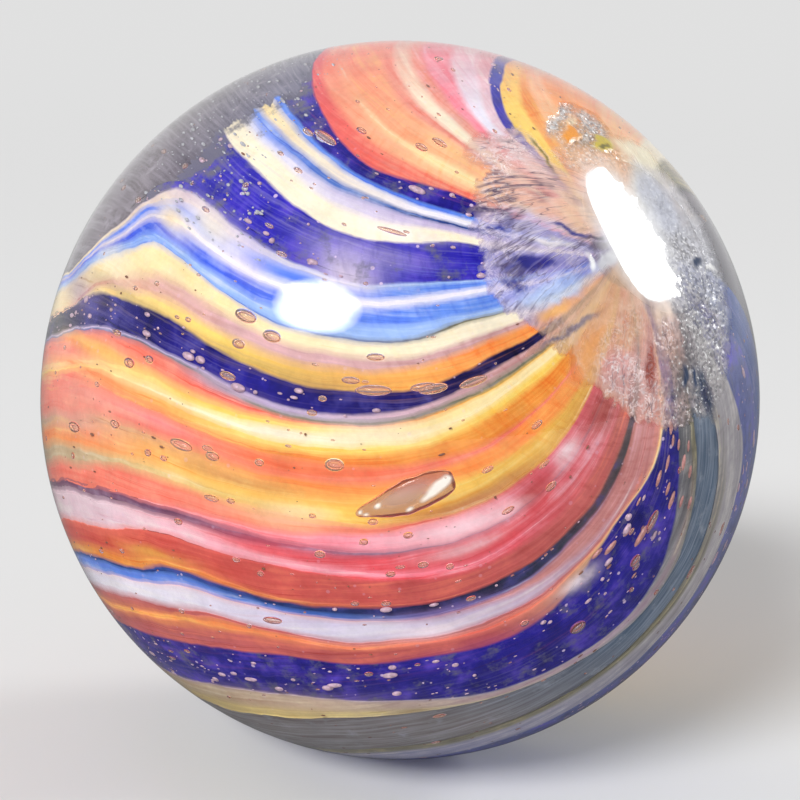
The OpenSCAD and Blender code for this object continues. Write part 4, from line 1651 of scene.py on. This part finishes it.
def makeBits():
    air = airMaterial("airInGlass", 0.16, (0.94, 0.84, 0.78))
    scatterBits("seeds", "clear_glass", bitMesh("seeds", bigSeeds, allRound), air, seeds)
    # pale pink flecks on the blue strands: seeds there, with the light they reflect painted on as their
    # colour
    pinkish = paleMaterial("pinkFlecks", (0.88, 0.74, 0.82), 0.35)
    for name, perDegree, seed in (("cobalt", 0.17, 5), ("navy", 0.20, 6)):
        values = {**flecks, "Bits Per Degree": perDegree, "Random Seed": seed}
        scatterBits(name + "Flecks", name + "_glass", chartOf(name), pinkish, values)
    # painted reflection: salmon blobs for bubbles that catch the light
    salmon = paleMaterial("salmonBlobs", (0.82, 0.58, 0.56), 0.3)
    scatterBits("salmonBlobs", "pink_glass", bitMesh("salmonBlobs", salmonBlobs), salmon, onStrands)
    greyish = paleMaterial("windowDust", (0.80, 0.80, 0.84), 0.3)
    scatterBits("windowDust", "white_glass", bitMesh("windowDust", paleCrumbs, atTips), greyish, dust)
    brownish = paleMaterial("darkGrains", (0.58, 0.38, 0.28), 0.5)
    for name in ("orange", "coral", "yellow", "cream", "pink", "red"):
        values = {**grains, "Random Seed": 9}
        scatterBits(name + "Grains", name + "_glass", chartOf(name), brownish, values)


makeBits()
print("bits made")

# the one large flat bubble, pointed at its left end

flatBubble = {
    "line": [(56.0, 87.0), (53.0, 85.7), (49.5, 84.4), (46.0, 83.3), (42.9, 82.9)],  # polar angle, longitude
    "halfWidth": 0.41 * mm,
    "halfDepth": 0.15 * mm,
    "steps": 80,
    "sides": 64,
    # the painted dark rim of the flat bubble
    "rim": (0.80, 0.93),  # where the dark rim starts and is full, across
    "thickRim": (0.66, 0.88),  # the same on the lower edge
    # painted highlights, white streaks on its outer side: place along, place across, reach of both, strength
    "shines": [
        (0.67, 0.36, 0.05, 0.18, 0.8), (0.75, 0.20, 0.06, 0.24, 1.2), (0.83, -0.02, 0.06, 0.26, 1.3),
        (0.90, -0.25, 0.05, 0.30, 1.1), (0.53, 0.60, 0.035, 0.14, 1.2), (0.25, -0.12, 0.035, 0.20, 1.2),
        (0.09, 0.0, 0.025, 0.40, 1.0), (0.145, 0.5, 0.025, 0.30, 1.0),
    ],
    "body": (0.50, -0.20, 0.34, 0.60, 0.50),  # the same for its milky middle
}


def spread(along, across, row):  # strength of one soft spot at a place
    x, y, long, broad, strength = row
    return strength * math.exp(-(((along - x) / long) ** 2) - ((across - y) / broad) ** 2)


def makeFlatBubble():
    path = flatBubble["line"]
    middle = (strandOuter + ballRadius) / 2
    points, shine, rim, body = [], [], [], []
    steps, sides = flatBubble["steps"], flatBubble["sides"]
    for i in range(steps + 1):
        share = 0.004 + 0.992 * i / steps
        polar, longitude = [through([spot[k] for spot in path], share * (len(path) - 1)) for k in (0, 1)]
        centre = wrapPoint(longitude, polar, middle)
        along = (wrapPoint(longitude, polar + 0.5, middle) - centre).normalized()
        out = centre.normalized()
        side = out.cross(along)
        breadth = min(1, share / 0.5) ** 0.75 * math.sqrt(max(0, 1 - max(0, (share - 0.5) / 0.5) ** 2.6))
        for k in range(sides):
            turn = 2 * math.pi * k / sides
            c, s = math.cos(turn), math.sin(turn)
            wobble = 1 + 0.08 * wave(share * 7, c, s)
            wide = side * math.copysign(abs(c) ** 0.8, c) * flatBubble["halfWidth"] * breadth * wobble
            deep = out * math.copysign(abs(s) ** 0.7, s) * flatBubble["halfDepth"] * breadth**0.6
            points.append(centre + wide + deep)
            isOuter = s > 0
            shine.append(isOuter * min(1, sum(spread(share, c, row) for row in flatBubble["shines"])))
            body.append(isOuter * spread(share, c, flatBubble["body"]))
            low, full = flatBubble["thickRim" if c > 0 else "rim"]
            rim.append(clamped(max((abs(c) - low) / (full - low), (share - 0.90) / 0.08)))
    faces = []
    for a in range(0, steps * sides, sides):
        for k in range(sides):
            n = (k + 1) % sides
            faces.append((a + k, a + n, a + sides + n, a + sides + k))
    faces += [tuple(range(sides - 1, -1, -1)), tuple(range(steps * sides, (steps + 1) * sides))]
    mesh = newMesh("flatBubble", points, faces)
    mesh.shade_smooth()
    mesh.materials.append(airMaterial("airInFlatBubble", 0.14, (0.80, 0.70, 0.68)))
    for label, values in (("shine", shine), ("rim", rim), ("body", body)):
        storeValues(mesh, label, values)
    finishPiece(newObject("flatBubble", mesh), "clear_glass")


makeFlatBubble()
print("bubbles made")
